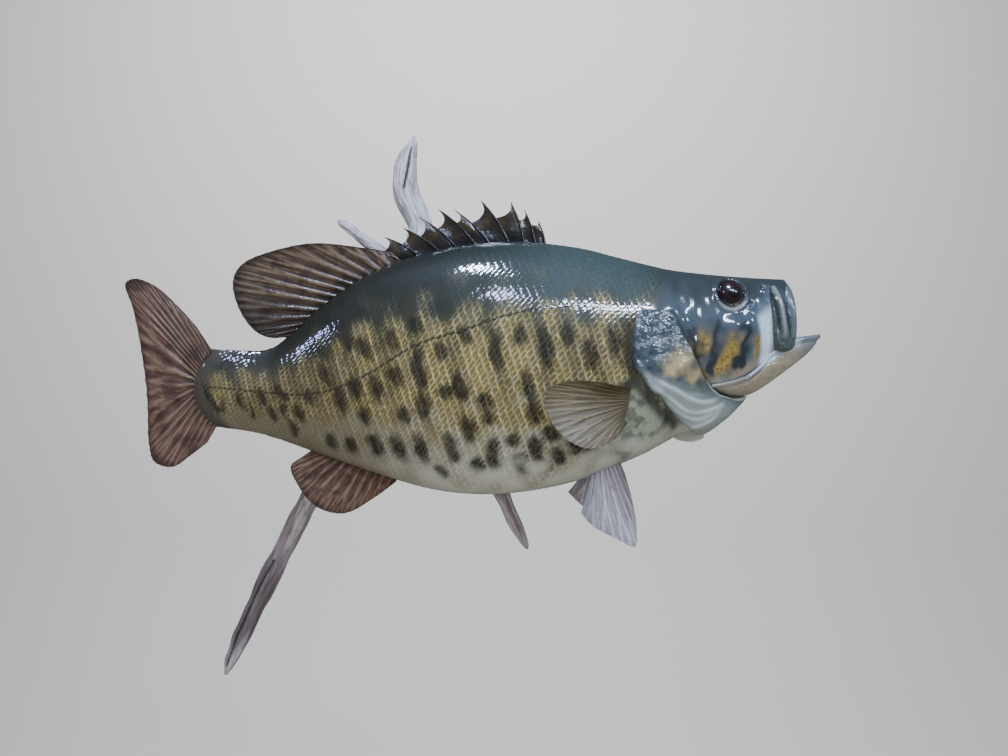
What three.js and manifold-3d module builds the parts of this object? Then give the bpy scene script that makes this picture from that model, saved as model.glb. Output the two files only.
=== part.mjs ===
// A smallmouth bass skin mount on a forked driftwood limb, made to hang on a wall.
// Millimetres, +Z up. The origin is the hanging point on the wall plane y = 0. The fish looks
// along +X and shows its right flank to the room, which is on the -Y side.
import * as THREE from 'three';
import { mergeVertices } from 'three/addons/utils/BufferGeometryUtils.js';
import Module from 'manifold-3d';

const wasm = await Module();
wasm.setup();

// ---------------------------------------------------------------- driving dimensions
const SNOUT_X = 246;          // front of the upper jaw
const LEVEL_Z = -58;          // the fish's own zero height, a little above its mouth corner
const MIDPLANE_Y = -57;       // the fish's middle plane stands this far off the wall
const GAP = 0.3;              // clearance between touching pieces
const PART_HEAD = 100;        // where the head is parted from the trunk, back from the snout
const PART_TAIL = 330;        // where the tail stock begins
const TAIL_END = 389;         // where the scales end on the tail fin
const SWEEP_START = 230;      // behind this the tail swings out towards the room
const SWEEP = 16;             // by this much ...
const SWEEP_LENGTH = 150;     // ... over this length

const EYE = { back: 43.5, out: 14.8, up: 53.8, radius: 10 };
const FAR_OUT = 60;           // further out from the middle plane than the head reaches
const HANGER = { width: 18, height: 44, thick: 1.5 };
const SCREW = { top: 18, bottom: -17, shank: 1.8, head: 3.6, length: 10 };
const KEYHOLE = { up: 6, round: 3.4, slot: 1.8, rise: 6, pocket: 5 };

const SIDES = 20;             // points round the body
const STEP = 12;              // spacing of the body's sections

// ---------------------------------------------------------------- curves through stations
// Smooth value along the fish, through [distance back from the snout, value] stations.
function curve(stations) {
  const slopes = stations.map((station, i) => {
    const before = stations[Math.max(i - 1, 0)];
    const after = stations[Math.min(i + 1, stations.length - 1)];
    return (after[1] - before[1]) / (after[0] - before[0]);
  });
  return (s) => {
    const last = stations.length - 2;
    const next = stations.findIndex(([at]) => at > s);
    const i = next < 0 ? last : THREE.MathUtils.clamp(next - 1, 0, last);
    const [s0, v0] = stations[i];
    const [s1, v1] = stations[i + 1];
    const h = s1 - s0;
    const t = THREE.MathUtils.clamp((s - s0) / h, 0, 1);
    const t2 = t * t;
    const t3 = t2 * t;
    return v0 * (2 * t3 - 3 * t2 + 1) + v1 * (3 * t2 - 2 * t3)
      + h * (slopes[i] * (t3 - 2 * t2 + t) + slopes[i + 1] * (t3 - t2));
  };
}

const body = {
  top: curve([[2, 66], [30, 67], [56, 69], [84, 73], [112, 80], [140, 87], [180, 91], [215, 89],
    [255, 79.5], [285, 66], [315, 44], [330, 29], [342, 20], [356, 17.8], [389, 20]]),
  bottom: curve([[2, 6], [24, -10], [40, -26.5], [56, -37], [68, -36], [80, -42], [98, -51.5],
    [139, -68], [173, -75.5], [207, -77.7], [239, -74], [272, -64.5], [310, -51], [342, -39],
    [362, -34], [389, -31]]),
  half: curve([[2, 17], [20, 20.5], [43, 24], [70, 29], [100, 33.5], [140, 36.5], [190, 37],
    [230, 34.5], [260, 30], [290, 23], [320, 15.5], [345, 10.5], [372, 7], [389, 4]]),
  widest: curve([[2, 38], [43, 24], [70, 18], [100, 14], [150, 8], [200, 4], [260, 4], [300, 0],
    [330, -7], [389, -6]]),
  roundTop: curve([[2, 2.3], [43, 3.2], [75, 2.6], [120, 2], [389, 2]]),
  roundBottom: curve([[2, 2], [60, 2], [120, 2.3], [260, 2.2], [389, 2]]),
};

const jaw = {
  top: curve([[-21, 29], [-7, 27], [2, 24.5], [16, 17], [26, 6.5], [36, 0.5], [57, -4]]),
  bottom: curve([[-21, 27], [-14, 17.5], [-2, 7.5], [24, -10.3], [40, -13], [57, -8]]),
  half: (s) => 19.5 * Math.sqrt(Math.max(1 - ((20 - Math.min(s, 20)) / 41.5) ** 2, 0.002))
    + Math.max(s - 20, 0) * 0.13,
  widest: (s) => jaw.top(s) - 1,
  roundTop: () => 6,
  roundBottom: () => 2.2,
};

const mouth = {
  top: curve([[-19, 42], [-4, 60], [8, 59], [30, 50], [72, 24]]),
  bottom: curve([[-19, 28], [-10, 19.5], [0, 11.5], [20, -2.5], [45, -8], [72, 8]]),
  half: curve([[-19, 3.5], [-10, 10], [0, 13.8], [20, 16], [45, 14], [72, 5]]),
  widest: curve([[-19, 36], [0, 34], [20, 22], [45, 14], [72, 16]]),
  roundTop: () => 2.2,
  roundBottom: () => 2.4,
};

function sweepAt(s) {
  return s < SWEEP_START ? 0 : SWEEP * ((s - SWEEP_START) / SWEEP_LENGTH) ** 2;
}

// A place on the fish: back from the snout, out to its right side, up from its level line.
function place(back, out, up) {
  return new THREE.Vector3(SNOUT_X - back, MIDPLANE_Y - out - sweepAt(back), LEVEL_Z + up);
}

const power = (value, round) => Math.sign(value) * Math.abs(value) ** (2 / round);

// One ring of a rounded cross-section, grown outwards by `grow`.
function ring(form, s, grow = 0) {
  const middle = form.widest(s);
  const points = [];
  for (let i = 0; i < SIDES; i++) {
    const angle = (2 * Math.PI * i) / SIDES;
    const upper = Math.sin(angle) >= 0;
    const round = upper ? form.roundTop(s) : form.roundBottom(s);
    const rise = (upper ? form.top(s) - middle : middle - form.bottom(s)) + grow;
    const out = (form.half(s) + grow) * power(Math.cos(angle), round);
    points.push(place(s, out, middle + rise * power(Math.sin(angle), round)));
  }
  return points;
}

// ---------------------------------------------------------------- closed meshes
// Skins a row of rings that all have the same number of points, and closes both ends.
function skin(rings) {
  const count = rings[0].length;
  const points = rings.flat();
  const faces = [];
  for (let r = 0; r + 1 < rings.length; r++) {
    for (let i = 0; i < count; i++) {
      const a = r * count + i;
      const b = r * count + ((i + 1) % count);
      faces.push(a, b, a + count, b, b + count, a + count);
    }
  }
  const capEnd = (start, flip) => {
    const middle = new THREE.Vector3();
    for (let i = 0; i < count; i++) middle.addScaledVector(points[start + i], 1 / count);
    const centre = points.push(middle) - 1;
    for (let i = 0; i < count; i++) {
      const a = start + i;
      const b = start + ((i + 1) % count);
      faces.push(centre, flip ? b : a, flip ? a : b);
    }
  };
  capEnd(0, true);
  capEnd((rings.length - 1) * count, false);
  const geometry = new THREE.BufferGeometry().setFromPoints(points);
  geometry.setIndex(faces);
  return geometry;
}

function solid(geometry) {
  const bare = geometry.clone();
  bare.deleteAttribute('normal');
  bare.deleteAttribute('uv');
  const merged = mergeVertices(bare, 1e-4);
  const triVerts = new Uint32Array(merged.index.array);
  const vertProperties = new Float32Array(merged.attributes.position.array);
  const shape = new wasm.Manifold(new wasm.Mesh({ numProp: 3, vertProperties, triVerts }));
  if (shape.volume() > 0) return shape;
  for (let i = 0; i < triVerts.length; i += 3) {
    [triVerts[i], triVerts[i + 1]] = [triVerts[i + 1], triVerts[i]];
  }
  return new wasm.Manifold(new wasm.Mesh({ numProp: 3, vertProperties, triVerts }));
}

// Back to a three.js geometry: only the largest lump is kept, so that a cut leaves no crumbs.
function geometryOf(shape) {
  const lumps = shape.decompose().sort((a, b) => b.volume() - a.volume());
  const mesh = lumps[0].getMesh();
  const geometry = new THREE.BufferGeometry();
  geometry.setAttribute('position', new THREE.BufferAttribute(mesh.vertProperties, 3));
  geometry.setIndex(new THREE.BufferAttribute(mesh.triVerts, 1));
  return geometry;
}

function loft(form, from, to, grow = 0) {
  const count = Math.ceil((to - from) / STEP);
  const rings = [];
  for (let i = 0; i <= count; i++) rings.push(ring(form, from + ((to - from) * i) / count, grow));
  return solid(skin(rings));
}

// A side outline in [back, up], pushed through the fish from one depth to another.
function sideCut(outline, outFrom, outTo) {
  const shape = new THREE.Shape(outline.map(([s, z]) => new THREE.Vector2(SNOUT_X - s, LEVEL_Z + z)));
  const depth = Math.abs(outTo - outFrom);
  const geometry = new THREE.ExtrudeGeometry(shape, { depth, bevelEnabled: false, steps: 1 });
  geometry.rotateX(Math.PI / 2);
  geometry.translate(0, MIDPLANE_Y - Math.min(outFrom, outTo), 0);
  return solid(geometry);
}

// Moves every side of an outline outwards by `grow`.
function grown(outline, grow) {
  const points = outline.map(([s, z]) => new THREE.Vector2(s, z));
  const turn = Math.sign(THREE.ShapeUtils.area(points));
  const normal = (a, b) => new THREE.Vector2(b.y - a.y, a.x - b.x).normalize().multiplyScalar(turn);
  return points.map((point, i) => {
    const before = points[(i + points.length - 1) % points.length];
    const after = points[(i + 1) % points.length];
    const out = normal(before, point).add(normal(point, after)).normalize().multiplyScalar(grow);
    return [point.x + out.x, point.y + out.y];
  });
}

function smoothPath(points) {
  return new THREE.CatmullRomCurve3(points.map((p) => new THREE.Vector3(...p)), false, 'centripetal');
}

// ---------------------------------------------------------------- fins
// A tapering plate whose rays run from `root` to `edge`, two lists of [back, up] points: smooth
// curves, or one point for each column where `corners` is set. `out` gives how far the plate
// stands to the fish's right at (across, along) in 0..1, and `bow` bends each ray over its length.
function finPlate({ root, edge, out, thick, columns, rows, corners = false, bow = 0 }) {
  const along = (list) => {
    const points = list.map(([s, z]) => new THREE.Vector3(s, z, 0));
    if (!corners) return (u) => new THREE.CatmullRomCurve3(points, false, 'centripetal').getPoint(u);
    return (u) => points[Math.round(u * (points.length - 1))];
  };
  const rootAt = along(root);
  const edgeAt = along(edge);
  const rings = [];
  for (let c = 0; c <= columns; c++) {
    const u = c / columns;
    const low = rootAt(u);
    const high = edgeAt(u);
    const near = [];
    const far = [];
    for (let r = 0; r <= rows; r++) {
      const v = r / rows;
      const at = low.clone().lerp(high, v);
      const bulge = 4 * v * (1 - v) * bow;
      at.x -= bulge * (high.y - low.y);
      at.y += bulge * (high.x - low.x);
      const half = thick(u, v) / 2;
      near.push(place(at.x, out(u, v) + half, at.y));
      far.unshift(place(at.x, out(u, v) - half, at.y));
    }
    rings.push([...near, ...far]);
  }
  return solid(skin(rings));
}

const taper = (atRoot, atEdge) => (u, v) => THREE.MathUtils.lerp(atRoot, atEdge, v);

// Ten stiff spines, each [foot back, tip back, tip up], from the front one to the hindmost.
const SPINES = [[162, 166.5, 105.5], [168.5, 176, 113], [176, 185, 118], [185, 205, 119], [197, 223.5, 113],
  [206.5, 234, 113.3], [219, 247, 108], [230.5, 257.5, 100.5], [243.5, 270, 94.3], [255, 282, 87]];
const SPINE_ROOT = 4;         // how deep a spine is set in the back
const SPINE_BOW = 0.05;       // how far a spine bows, over its length
// The web between two spines: how far across it is, and how much of the spines' length it keeps.
const WEB = [[0, 1], [0.13, 0.82], [0.5, 0.67], [0.92, 0.6]];

const spineFoot = ([foot]) => new THREE.Vector3(foot, body.top(foot) - SPINE_ROOT, 0);
const spineTip = ([, back, up]) => new THREE.Vector3(back, up, 0);

function spinyFin() {
  const root = [];
  const edge = [];
  const ribs = [];
  SPINES.forEach((spine, k) => {
    const next = SPINES[k + 1];
    for (const [across, kept] of next ? WEB : WEB.slice(0, 1)) {
      const foot = spineFoot(spine).lerp(spineFoot(next ?? spine), across);
      const tip = spineTip(spine).lerp(spineTip(next ?? spine), across);
      root.push(foot.toArray());
      edge.push(foot.lerp(tip, kept).toArray());
      ribs.push(across === 0);
    }
  });
  const columns = root.length - 1;
  const thick = (u, v) => (ribs[Math.round(u * columns)]
    ? THREE.MathUtils.lerp(2.8, 1, v) : THREE.MathUtils.lerp(1.6, 0.8, v));
  return finPlate({ root, edge, out: () => 0, thick, columns, rows: 2, corners: true, bow: SPINE_BOW });
}

const softDorsalFin = () => finPlate({
  root: [[257, 74], [285, 62], [310, 43], [330, 25]],
  edge: [[262, 84], [285, 87], [317, 89], [345, 82.5], [362, 74], [367, 63], [363, 45],
    [352, 30], [342, 26], [334, 27]],
  out: (u, v) => 1.5 * v * Math.sin(3 * Math.PI * u),
  thick: taper(2.8, 0.8), columns: 15, rows: 2,
});

const analFin = () => finPlate({
  root: [[314, -46], [300, -51], [280, -58], [259, -65]],
  edge: [[322, -51.5], [330, -58], [326, -70], [315, -85], [297, -91], [277, -81], [262, -70]],
  out: (u, v) => 1.5 * v * Math.sin(2 * Math.PI * u),
  thick: taper(3, 0.8), columns: 13, rows: 2,
});

const tailFin = () => finPlate({
  root: [[379, 17], [386, 6], [387, -10], [376, -30]],
  edge: [[388, 33], [398, 45.5], [412, 59], [423, 63], [428.5, 60], [425, 44], [420, 12], [417.5, -18],
    [416.5, -43], [413, -54], [402, -57.5], [391, -50], [381, -42]],
  out: (u, v) => 2 * v * Math.sin(2.5 * Math.PI * u),
  thick: taper(4.5, 0.9), columns: 16, rows: 3,
});

function pectoralFin(side, spread) {
  return finPlate({
    root: [[109.5, -7], [111, -16], [114, -26]],
    edge: [[119, -5], [140, -1.8], [160, -4.5], [165.8, -13], [162, -25], [150, -38.5],
      [137, -42.6], [123, -37], [115.5, -28]],
    out: (u, v) => side * (31.5 + spread * v ** 0.8 + 2.5 * v * Math.sin(Math.PI * u)),
    thick: taper(3.4, 0.9), columns: 12, rows: 3,
  });
}

const PELVIC_RIGHT_EDGE = [[140, -87], [133, -95], [118, -103], [105.5, -108.4], [104.3, -98],
  [107, -79], [111.5, -62]];
const PELVIC_LEFT_EDGE = [[145, -80], [137, -88], [124, -97], [112, -100], [109, -90],
  [110, -76], [112, -62]];

function pelvicFin(side, edge) {
  return finPlate({
    root: [[131, -60], [122, -57], [114, -53]],
    edge,
    out: (u, v) => side * (9 + 12 * v + 1.5 * v * Math.sin(Math.PI * u)),
    thick: taper(3.6, 0.9), columns: 11, rows: 2,
  });
}

// ---------------------------------------------------------------- head pieces
// The bony rim of the upper lip: an arch from the right mouth corner over to the left one.
const LIP_FOOT = { back: 2.2, out: 18.6, up: 26 };
const LIP_CROWN = { back: 6, up: 61.5 };

function upperLip(grow = 0) {
  const stops = 16;
  const corners = 8;
  const rings = [];
  for (let i = 0; i <= stops; i++) {
    const t = (2 * i) / stops - 1;
    const angle = t * Math.PI * 0.5;
    const rise = Math.cos(angle) ** 0.85;
    const run = power(Math.sin(angle), 2.9);
    const thick = THREE.MathUtils.lerp(1.3, 2.6, rise) + grow;
    const deep = THREE.MathUtils.lerp(1.4, 3.9, rise) + grow;
    const stretch = 1 + grow / 20;
    const back = THREE.MathUtils.lerp(LIP_FOOT.back, LIP_CROWN.back, rise ** 2);
    const out = -LIP_FOOT.out * run * (i === 0 || i === stops ? stretch : 1);
    const up = THREE.MathUtils.lerp(LIP_FOOT.up - grow, LIP_CROWN.up, rise);
    const outwards = new THREE.Vector2(-Math.sin(angle), Math.cos(angle));
    const points = [];
    for (let k = 0; k < corners; k++) {
      const turn = (2 * Math.PI * k) / corners;
      const reach = thick * Math.sin(turn);
      points.push(place(back + deep * Math.cos(turn), out + reach * outwards.x, up + reach * outwards.y));
    }
    rings.push(points);
  }
  return solid(skin(rings));
}

const MAXILLA = [[16.5, 57], [10.5, 60], [6, 57], [2.6, 47], [0.8, 34], [1.4, 24], [5.3, 18],
  [9.8, 16.7], [14.6, 19.3], [16.6, 31], [17.8, 47]];

const GILL_COVER = [[83, 40], [102, 43], [107, 35], [109, 25], [108.7, 8], [104, 2], [97, -8],
  [91, -12], [86, -18], [79, -25], [71, -31], [65, -35], [56, -38.5], [48, -34], [40, -28],
  [28, -14], [40, -14.5], [52, -11], [58, -6], [63, 1.5], [70, 16], [77, 29]];

const JAW_SIDE = [[-23, 24], [-23, 33], [-7, 30], [2, 24.5], [16, 17], [26, 6.5], [36, 0.5], [57, -4],
  [57, -6], [51, -10.5], [40, -14], [24, -12], [10, -6], [-8, 6]];

// The wall-side gill membrane hangs a little below the other one.
const hangingMembrane = () => finPlate({
  root: [[53, -33], [64, -31], [75, -35]],
  edge: [[55, -41], [63, -43.2], [72, -42], [77, -38.5]],
  out: () => -4,
  thick: taper(2.2, 0.9), columns: 5, rows: 1,
});

function eyeball(side, grow = 0) {
  const geometry = new THREE.SphereGeometry(EYE.radius + grow, 14, 9);
  geometry.rotateX(Math.PI / 2);
  const at = place(EYE.back, side * EYE.out, EYE.up);
  geometry.translate(at.x, at.y, at.z);
  return solid(geometry);
}

// A shell lying on the head between two depths, inside a side outline, on one side only.
function facePlate(outline, side, { inner, outer, inwardEdge }) {
  const slab = sideCut(outline, side * inwardEdge, side * FAR_OUT);
  const [from, to] = [2, 118];
  return loft(body, from, to, outer).intersect(slab).subtract(loft(body, from - 1, to + 1, inner));
}

// ---------------------------------------------------------------- driftwood
// A tapering limb through [x, y, z, radius] stops, faintly uneven as weathered wood is.
function limb(stops, { sides = 9, step = 13, wobble = 0.05 } = {}) {
  const path = smoothPath(stops.map(([x, y, z]) => [x, y, z]));
  const radius = new THREE.CatmullRomCurve3(stops.map(([, , , r], i) => new THREE.Vector3(i, r, 0)));
  const count = Math.ceil(path.getLength() / step);
  const rings = [];
  for (let i = 0; i <= count; i++) {
    const t = i / count;
    const at = path.getPoint(t);
    const along = path.getTangent(t);
    const towards = new THREE.Vector3(0, -1, 0);
    const across = new THREE.Vector3().crossVectors(along, towards).normalize();
    const outwards = new THREE.Vector3().crossVectors(across, along).normalize();
    const size = radius.getPoint(t).y;
    const points = [];
    for (let k = 0; k < sides; k++) {
      const turn = (2 * Math.PI * k) / sides;
      const r = size * (1 + wobble * Math.sin(3 * turn + 5 * t) + wobble * Math.sin(9 * t + 2 * turn));
      points.push(at.clone().addScaledVector(across, r * Math.cos(turn))
        .addScaledVector(outwards, r * Math.sin(turn)));
    }
    rings.push(points);
  }
  return solid(skin(rings));
}

const MAIN_LIMB = [[-147, -10, -275, 1], [-142, -10, -262, 4.5], [-117, -11, -208, 6.6],
  [-86, -12, -147, 7.6], [-46, -13.5, -78, 9], [-12, -14, -18, 15.5], [0, -14, 14, 15.5],
  [-2, -14, 46, 10.5]];
const TOP_BRANCH = [[-1, -14, 36, 10], [-4.5, -13.5, 52, 8.6], [-9, -13, 62, 8.8], [-14, -13, 73, 9.2],
  [-16, -13, 86, 9.4], [-13.5, -13, 101, 7.2], [-9.6, -13, 113, 2.8], [-8.7, -13, 118, 0.9]];
const TOP_SPUR = [[-17, -13, 82, 7], [-18.6, -13, 94, 5], [-18.8, -13, 101.5, 0.9]];
const SIDE_BRANCH = [[-4, -15, 8, 8], [-18, -14, 19, 6.8], [-38, -13, 37, 5], [-60, -13, 54, 3],
  [-64, -13, 57, 0.8]];
const LOW_BRANCH = [[-6, -14, -24, 11], [14, -14, -58, 10.5], [33, -13, -92, 8.4], [56, -12, -145, 5.4],
  [70, -11, -176, 3.4], [74, -11, -183, 0.8]];

// ---------------------------------------------------------------- assembly
const object = new THREE.Group();

function addPiece(name, shape, finish) {
  const mesh = new THREE.Mesh(geometryOf(shape), new THREE.MeshStandardMaterial(finish));
  mesh.name = name;
  object.add(mesh);
}

const wetSkin = (color) => ({ color, roughness: 0.25, metalness: 0 });
const finWeb = (color) => ({ color, roughness: 0.35, metalness: 0 });
const weatheredWood = { color: 0x8f8a88, roughness: 0.9, metalness: 0 };
const glassEye = { color: 0x4a1a12, roughness: 0.05, metalness: 0 };
const steelHanger = { color: 0xb9bcbf, roughness: 0.4, metalness: 1 };

const SIDE_NAMES = [['right', 1], ['left', -1]];

// The skin, parted by thin cuts into head, trunk and tail stock.
let headShape = loft(body, 4, PART_HEAD);
let trunkShape = loft(body, PART_HEAD + GAP, PART_TAIL);
const tailStock = loft(body, PART_TAIL + GAP, TAIL_END);
const fleshGrown = loft(body, 4, TAIL_END + GAP, GAP);
const headGrown = loft(body, 4, PART_HEAD, GAP);

const mouthHollow = loft(mouth, -19, 72);
const jawSlab = (grow) => sideCut(grown(JAW_SIDE, grow), -FAR_OUT, FAR_OUT);
let jawShape = loft(jaw, -21, 57).intersect(jawSlab(0)).subtract(mouthHollow).subtract(upperLip(GAP));
headShape = headShape.subtract(mouthHollow).subtract(jawSlab(GAP)).subtract(upperLip(GAP));
addPiece('upper_jaw', upperLip(), wetSkin(0x6c6f66));

for (const [word, side] of SIDE_NAMES) {
  const maxilla = facePlate(MAXILLA, side, { inner: 0.2, outer: 2.4, inwardEdge: 6 }).subtract(upperLip(GAP));
  const maxillaRoom = facePlate(grown(MAXILLA, GAP), side, { inner: -0.2, outer: 5, inwardEdge: 5 });
  addPiece(`maxilla_${word}`, maxilla, wetSkin(0x3f4a3c));
  headShape = headShape.subtract(maxillaRoom);
  jawShape = jawShape.subtract(maxillaRoom);

  let cover = facePlate(GILL_COVER, side, { inner: -1.7, outer: 1.5, inwardEdge: 1.5 });
  if (word === 'left') cover = cover.add(hangingMembrane().subtract(headGrown));
  const coverRoom = facePlate(grown(GILL_COVER, GAP), side, { inner: -2, outer: 5, inwardEdge: 1.2 });
  addPiece(`gill_cover_${word}`, cover, wetSkin(0x8d8a6e));
  headShape = headShape.subtract(coverRoom);
  trunkShape = trunkShape.subtract(coverRoom);
  jawShape = jawShape.subtract(coverRoom);

  headShape = headShape.subtract(eyeball(side, GAP));
  addPiece(`eye_${word}`, eyeball(side), glassEye);
}

addPiece('head', headShape, wetSkin(0x86795a));
addPiece('lower_jaw', jawShape, wetSkin(0xa39d88));
addPiece('trunk', trunkShape, wetSkin(0x6f6a4a));
addPiece('tail_stock', tailStock, wetSkin(0x6a6a58));

addPiece('dorsal_fin_spiny', spinyFin().subtract(fleshGrown), finWeb(0x4b3a30));
const lastFoot = spineFoot(SPINES.at(-1));
const lastTip = spineTip(SPINES.at(-1));
const ahead = [[200, 60], [lastFoot.x, 60], [lastFoot.x, lastFoot.y], [lastTip.x, lastTip.y],
  [lastTip.x, 130], [200, 130]];
const spinyRoom = sideCut(grown(ahead, 2 * GAP), -EYE.radius, EYE.radius);
const softDorsal = softDorsalFin().subtract(fleshGrown).subtract(spinyRoom);
addPiece('dorsal_fin_soft', softDorsal, finWeb(0x5a4030));
addPiece('anal_fin', analFin().subtract(fleshGrown), finWeb(0x6a4a3a));
addPiece('tail_fin', tailFin().subtract(fleshGrown), finWeb(0x5c463a));
addPiece('pectoral_fin_right', pectoralFin(1, 20).subtract(fleshGrown), finWeb(0x9a8f7c));
addPiece('pectoral_fin_left', pectoralFin(-1, 15).subtract(fleshGrown), finWeb(0x9a8f7c));
addPiece('pelvic_fin_right', pelvicFin(1, PELVIC_RIGHT_EDGE).subtract(fleshGrown), finWeb(0xa39aa0));
addPiece('pelvic_fin_left', pelvicFin(-1, PELVIC_LEFT_EDGE).subtract(fleshGrown), finWeb(0xa39aa0));

// A flat steel hanger with a keyhole, and two countersunk screws that hold it to the wood. Each is
// cut from round bars and cones that run straight out from the wall, from one depth to another.
function crossBar(up, radiusFrom, radiusTo, from, to) {
  const geometry = new THREE.CylinderGeometry(radiusFrom, radiusTo, to - from, 10);
  return solid(geometry.translate(0, -(from + to) / 2, up));
}

function screw(up, grow = 0) {
  const head = crossBar(up, SCREW.head + grow, SCREW.shank + grow, 0, HANGER.thick);
  const start = HANGER.thick - 0.1;
  return head.add(crossBar(up, SCREW.shank + grow, SCREW.shank + grow, start, SCREW.length + grow));
}

function keyhole(grow, depth) {
  const width = 2 * (KEYHOLE.slot + grow);
  const slot = solid(new THREE.BoxGeometry(width, 2 * depth, KEYHOLE.rise)
    .translate(0, 0, KEYHOLE.up + KEYHOLE.rise / 2));
  return slot.add(crossBar(KEYHOLE.up, KEYHOLE.round + grow, KEYHOLE.round + grow, -1, depth));
}

const screwHoles = screw(SCREW.top, GAP).add(screw(SCREW.bottom, GAP));
const plate = solid(new THREE.BoxGeometry(HANGER.width, HANGER.thick, HANGER.height)
  .translate(0, -HANGER.thick / 2, 0));
const plateHoles = keyhole(0, HANGER.thick + 1).add(screwHoles);
addPiece('hanger_plate', plate.subtract(plateHoles), steelHanger);
addPiece('hanger_screw_top', screw(SCREW.top), steelHanger);
addPiece('hanger_screw_bottom', screw(SCREW.bottom), steelHanger);

// The driftwood: its back is planed to one flat for the hanger, with a pocket behind the keyhole
// for the head of the wall's screw. The fish beds into its front.
const planed = HANGER.thick + GAP;
const wallSide = solid(new THREE.BoxGeometry(500, 40, 600).translate(0, 20 - planed, -80));
const hangerRoom = wallSide.add(keyhole(1, KEYHOLE.pocket)).add(screwHoles);
const fit = (wood) => wood.subtract(hangerRoom).subtract(fleshGrown);
const mainGrown = limb(MAIN_LIMB.map(([x, y, z, r]) => [x, y, z, r + GAP]));
addPiece('driftwood_limb', fit(limb(MAIN_LIMB)), weatheredWood);
const topBranch = limb(TOP_BRANCH).add(limb(TOP_SPUR));
for (const [name, wood] of [['top', topBranch], ['side', limb(SIDE_BRANCH)], ['low', limb(LOW_BRANCH)]]) {
  addPiece(`driftwood_${name}_branch`, fit(wood.subtract(mainGrown)), weatheredWood);
}

export default object;
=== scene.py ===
# %% [markdown]
# A smallmouth bass, skinned, mounted and varnished, on a forked driftwood limb that hangs on a wall.
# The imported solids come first. They fix every size and place, and each piece made below stands where
# one of them stands.

# %% Load the frame
import math
import bpy
import bmesh
import numpy as np
from mathutils.geometry import delaunay_2d_cdt
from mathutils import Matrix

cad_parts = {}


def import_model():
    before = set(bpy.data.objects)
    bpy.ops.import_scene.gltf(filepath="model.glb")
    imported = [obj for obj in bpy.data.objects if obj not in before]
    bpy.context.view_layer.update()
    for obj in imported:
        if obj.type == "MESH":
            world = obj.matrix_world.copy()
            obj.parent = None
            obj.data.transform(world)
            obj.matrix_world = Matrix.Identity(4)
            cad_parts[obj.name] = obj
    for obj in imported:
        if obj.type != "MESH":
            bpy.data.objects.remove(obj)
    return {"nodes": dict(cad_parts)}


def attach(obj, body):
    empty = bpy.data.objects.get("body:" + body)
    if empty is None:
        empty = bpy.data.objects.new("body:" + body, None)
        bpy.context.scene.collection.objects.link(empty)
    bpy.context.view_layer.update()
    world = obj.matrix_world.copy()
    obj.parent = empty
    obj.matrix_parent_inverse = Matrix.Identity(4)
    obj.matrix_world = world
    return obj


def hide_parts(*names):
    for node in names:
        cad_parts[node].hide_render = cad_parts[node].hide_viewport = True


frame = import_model()
bpy.context.view_layer.update()

# %% [markdown]
# A mount is bent a little, as if the fish swam. Every fin could be placed straight in the scene's metres,
# but a straight fish is easier to describe, so it is measured in its own coordinates, in millimetres:
# `back` from the snout towards the tail, `out` from the middle plane towards the room, and `up` from a
# level line near the mouth corner. One function turns them into metres and bends the tail with them.

# %% The fish's own coordinates
MM = 0.001
SNOUT_X, MIDPLANE_Y, LEVEL_Z = 246, -57, -58  # where back, out and up are 0, in the scene's millimetres
SWEEP_START, SWEEP, SWEEP_LENGTH = 230, 16, 150  # behind the start the tail swings 16 mm out over 150 mm
RIGHT, LEFT = 1, -1  # the sign of `out` on each side of the fish


def sweep_at(back):
    """How far the tail has swung towards the room."""
    return SWEEP * (np.maximum(back - SWEEP_START, 0) / SWEEP_LENGTH) ** 2


def place(back, out, up):
    """Fish coordinates to metres in the scene."""
    back, out, up = np.broadcast_arrays(*(np.asarray(v, float) for v in (back, out, up)))
    return np.stack([SNOUT_X - back, MIDPLANE_Y - out - sweep_at(back), LEVEL_Z + up], -1) * MM


def fish_coordinates(points):
    """The other way: metres in the scene to back, out and up."""
    x, y, z = np.asarray(points).T / MM
    back = SNOUT_X - x
    return back, MIDPLANE_Y - y - sweep_at(back), z - LEVEL_Z


def curve(stations):
    """A smooth value through [place, value] stations, flat beyond both ends."""
    at, value = np.array(stations, float).T
    index = np.arange(len(at))
    after, before = np.minimum(index + 1, len(at) - 1), np.maximum(index - 1, 0)
    slope = (value[after] - value[before]) / (at[after] - at[before])

    def smooth(s):
        s = np.asarray(s, float)
        i = np.clip(np.searchsorted(at, s, side="right") - 1, 0, len(at) - 2)
        h = at[i + 1] - at[i]
        t = np.clip((s - at[i]) / h, 0, 1)
        t2, t3 = t * t, t * t * t
        return (value[i] * (2 * t3 - 3 * t2 + 1) + value[i + 1] * (3 * t2 - 2 * t3)
                + h * (slope[i] * (t3 - 2 * t2 + t) + slope[i + 1] * (t3 - t2)))
    return smooth


def step(low, high, value):
    """0 below low, 1 above high, smooth between."""
    t = np.clip((np.asarray(value, float) - low) / (high - low), 0, 1)
    return t * t * (3 - 2 * t)


def bell(distance, width):
    """1 at distance 0, falling smoothly to about a third at the width."""
    return np.exp(-(np.asarray(distance, float) / width) ** 2)


print("the snout is at", place(0, 0, 0), "and the tail's tips near", place(428, 0, 60))

# %% [markdown]
# A taxidermist's fish is a carved foam body under skin. It could be sculpted here too, but a sculpted mesh
# can't be measured or changed by a number. A fish's body is a row of rounded sections, and six curves say
# it all: the back line, the belly line, the half width, the height of the widest place, and how square
# the upper and lower halves are. The solids are made from the same six curves, so a fine mesh of them
# lies exactly on the coarse one.

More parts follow.
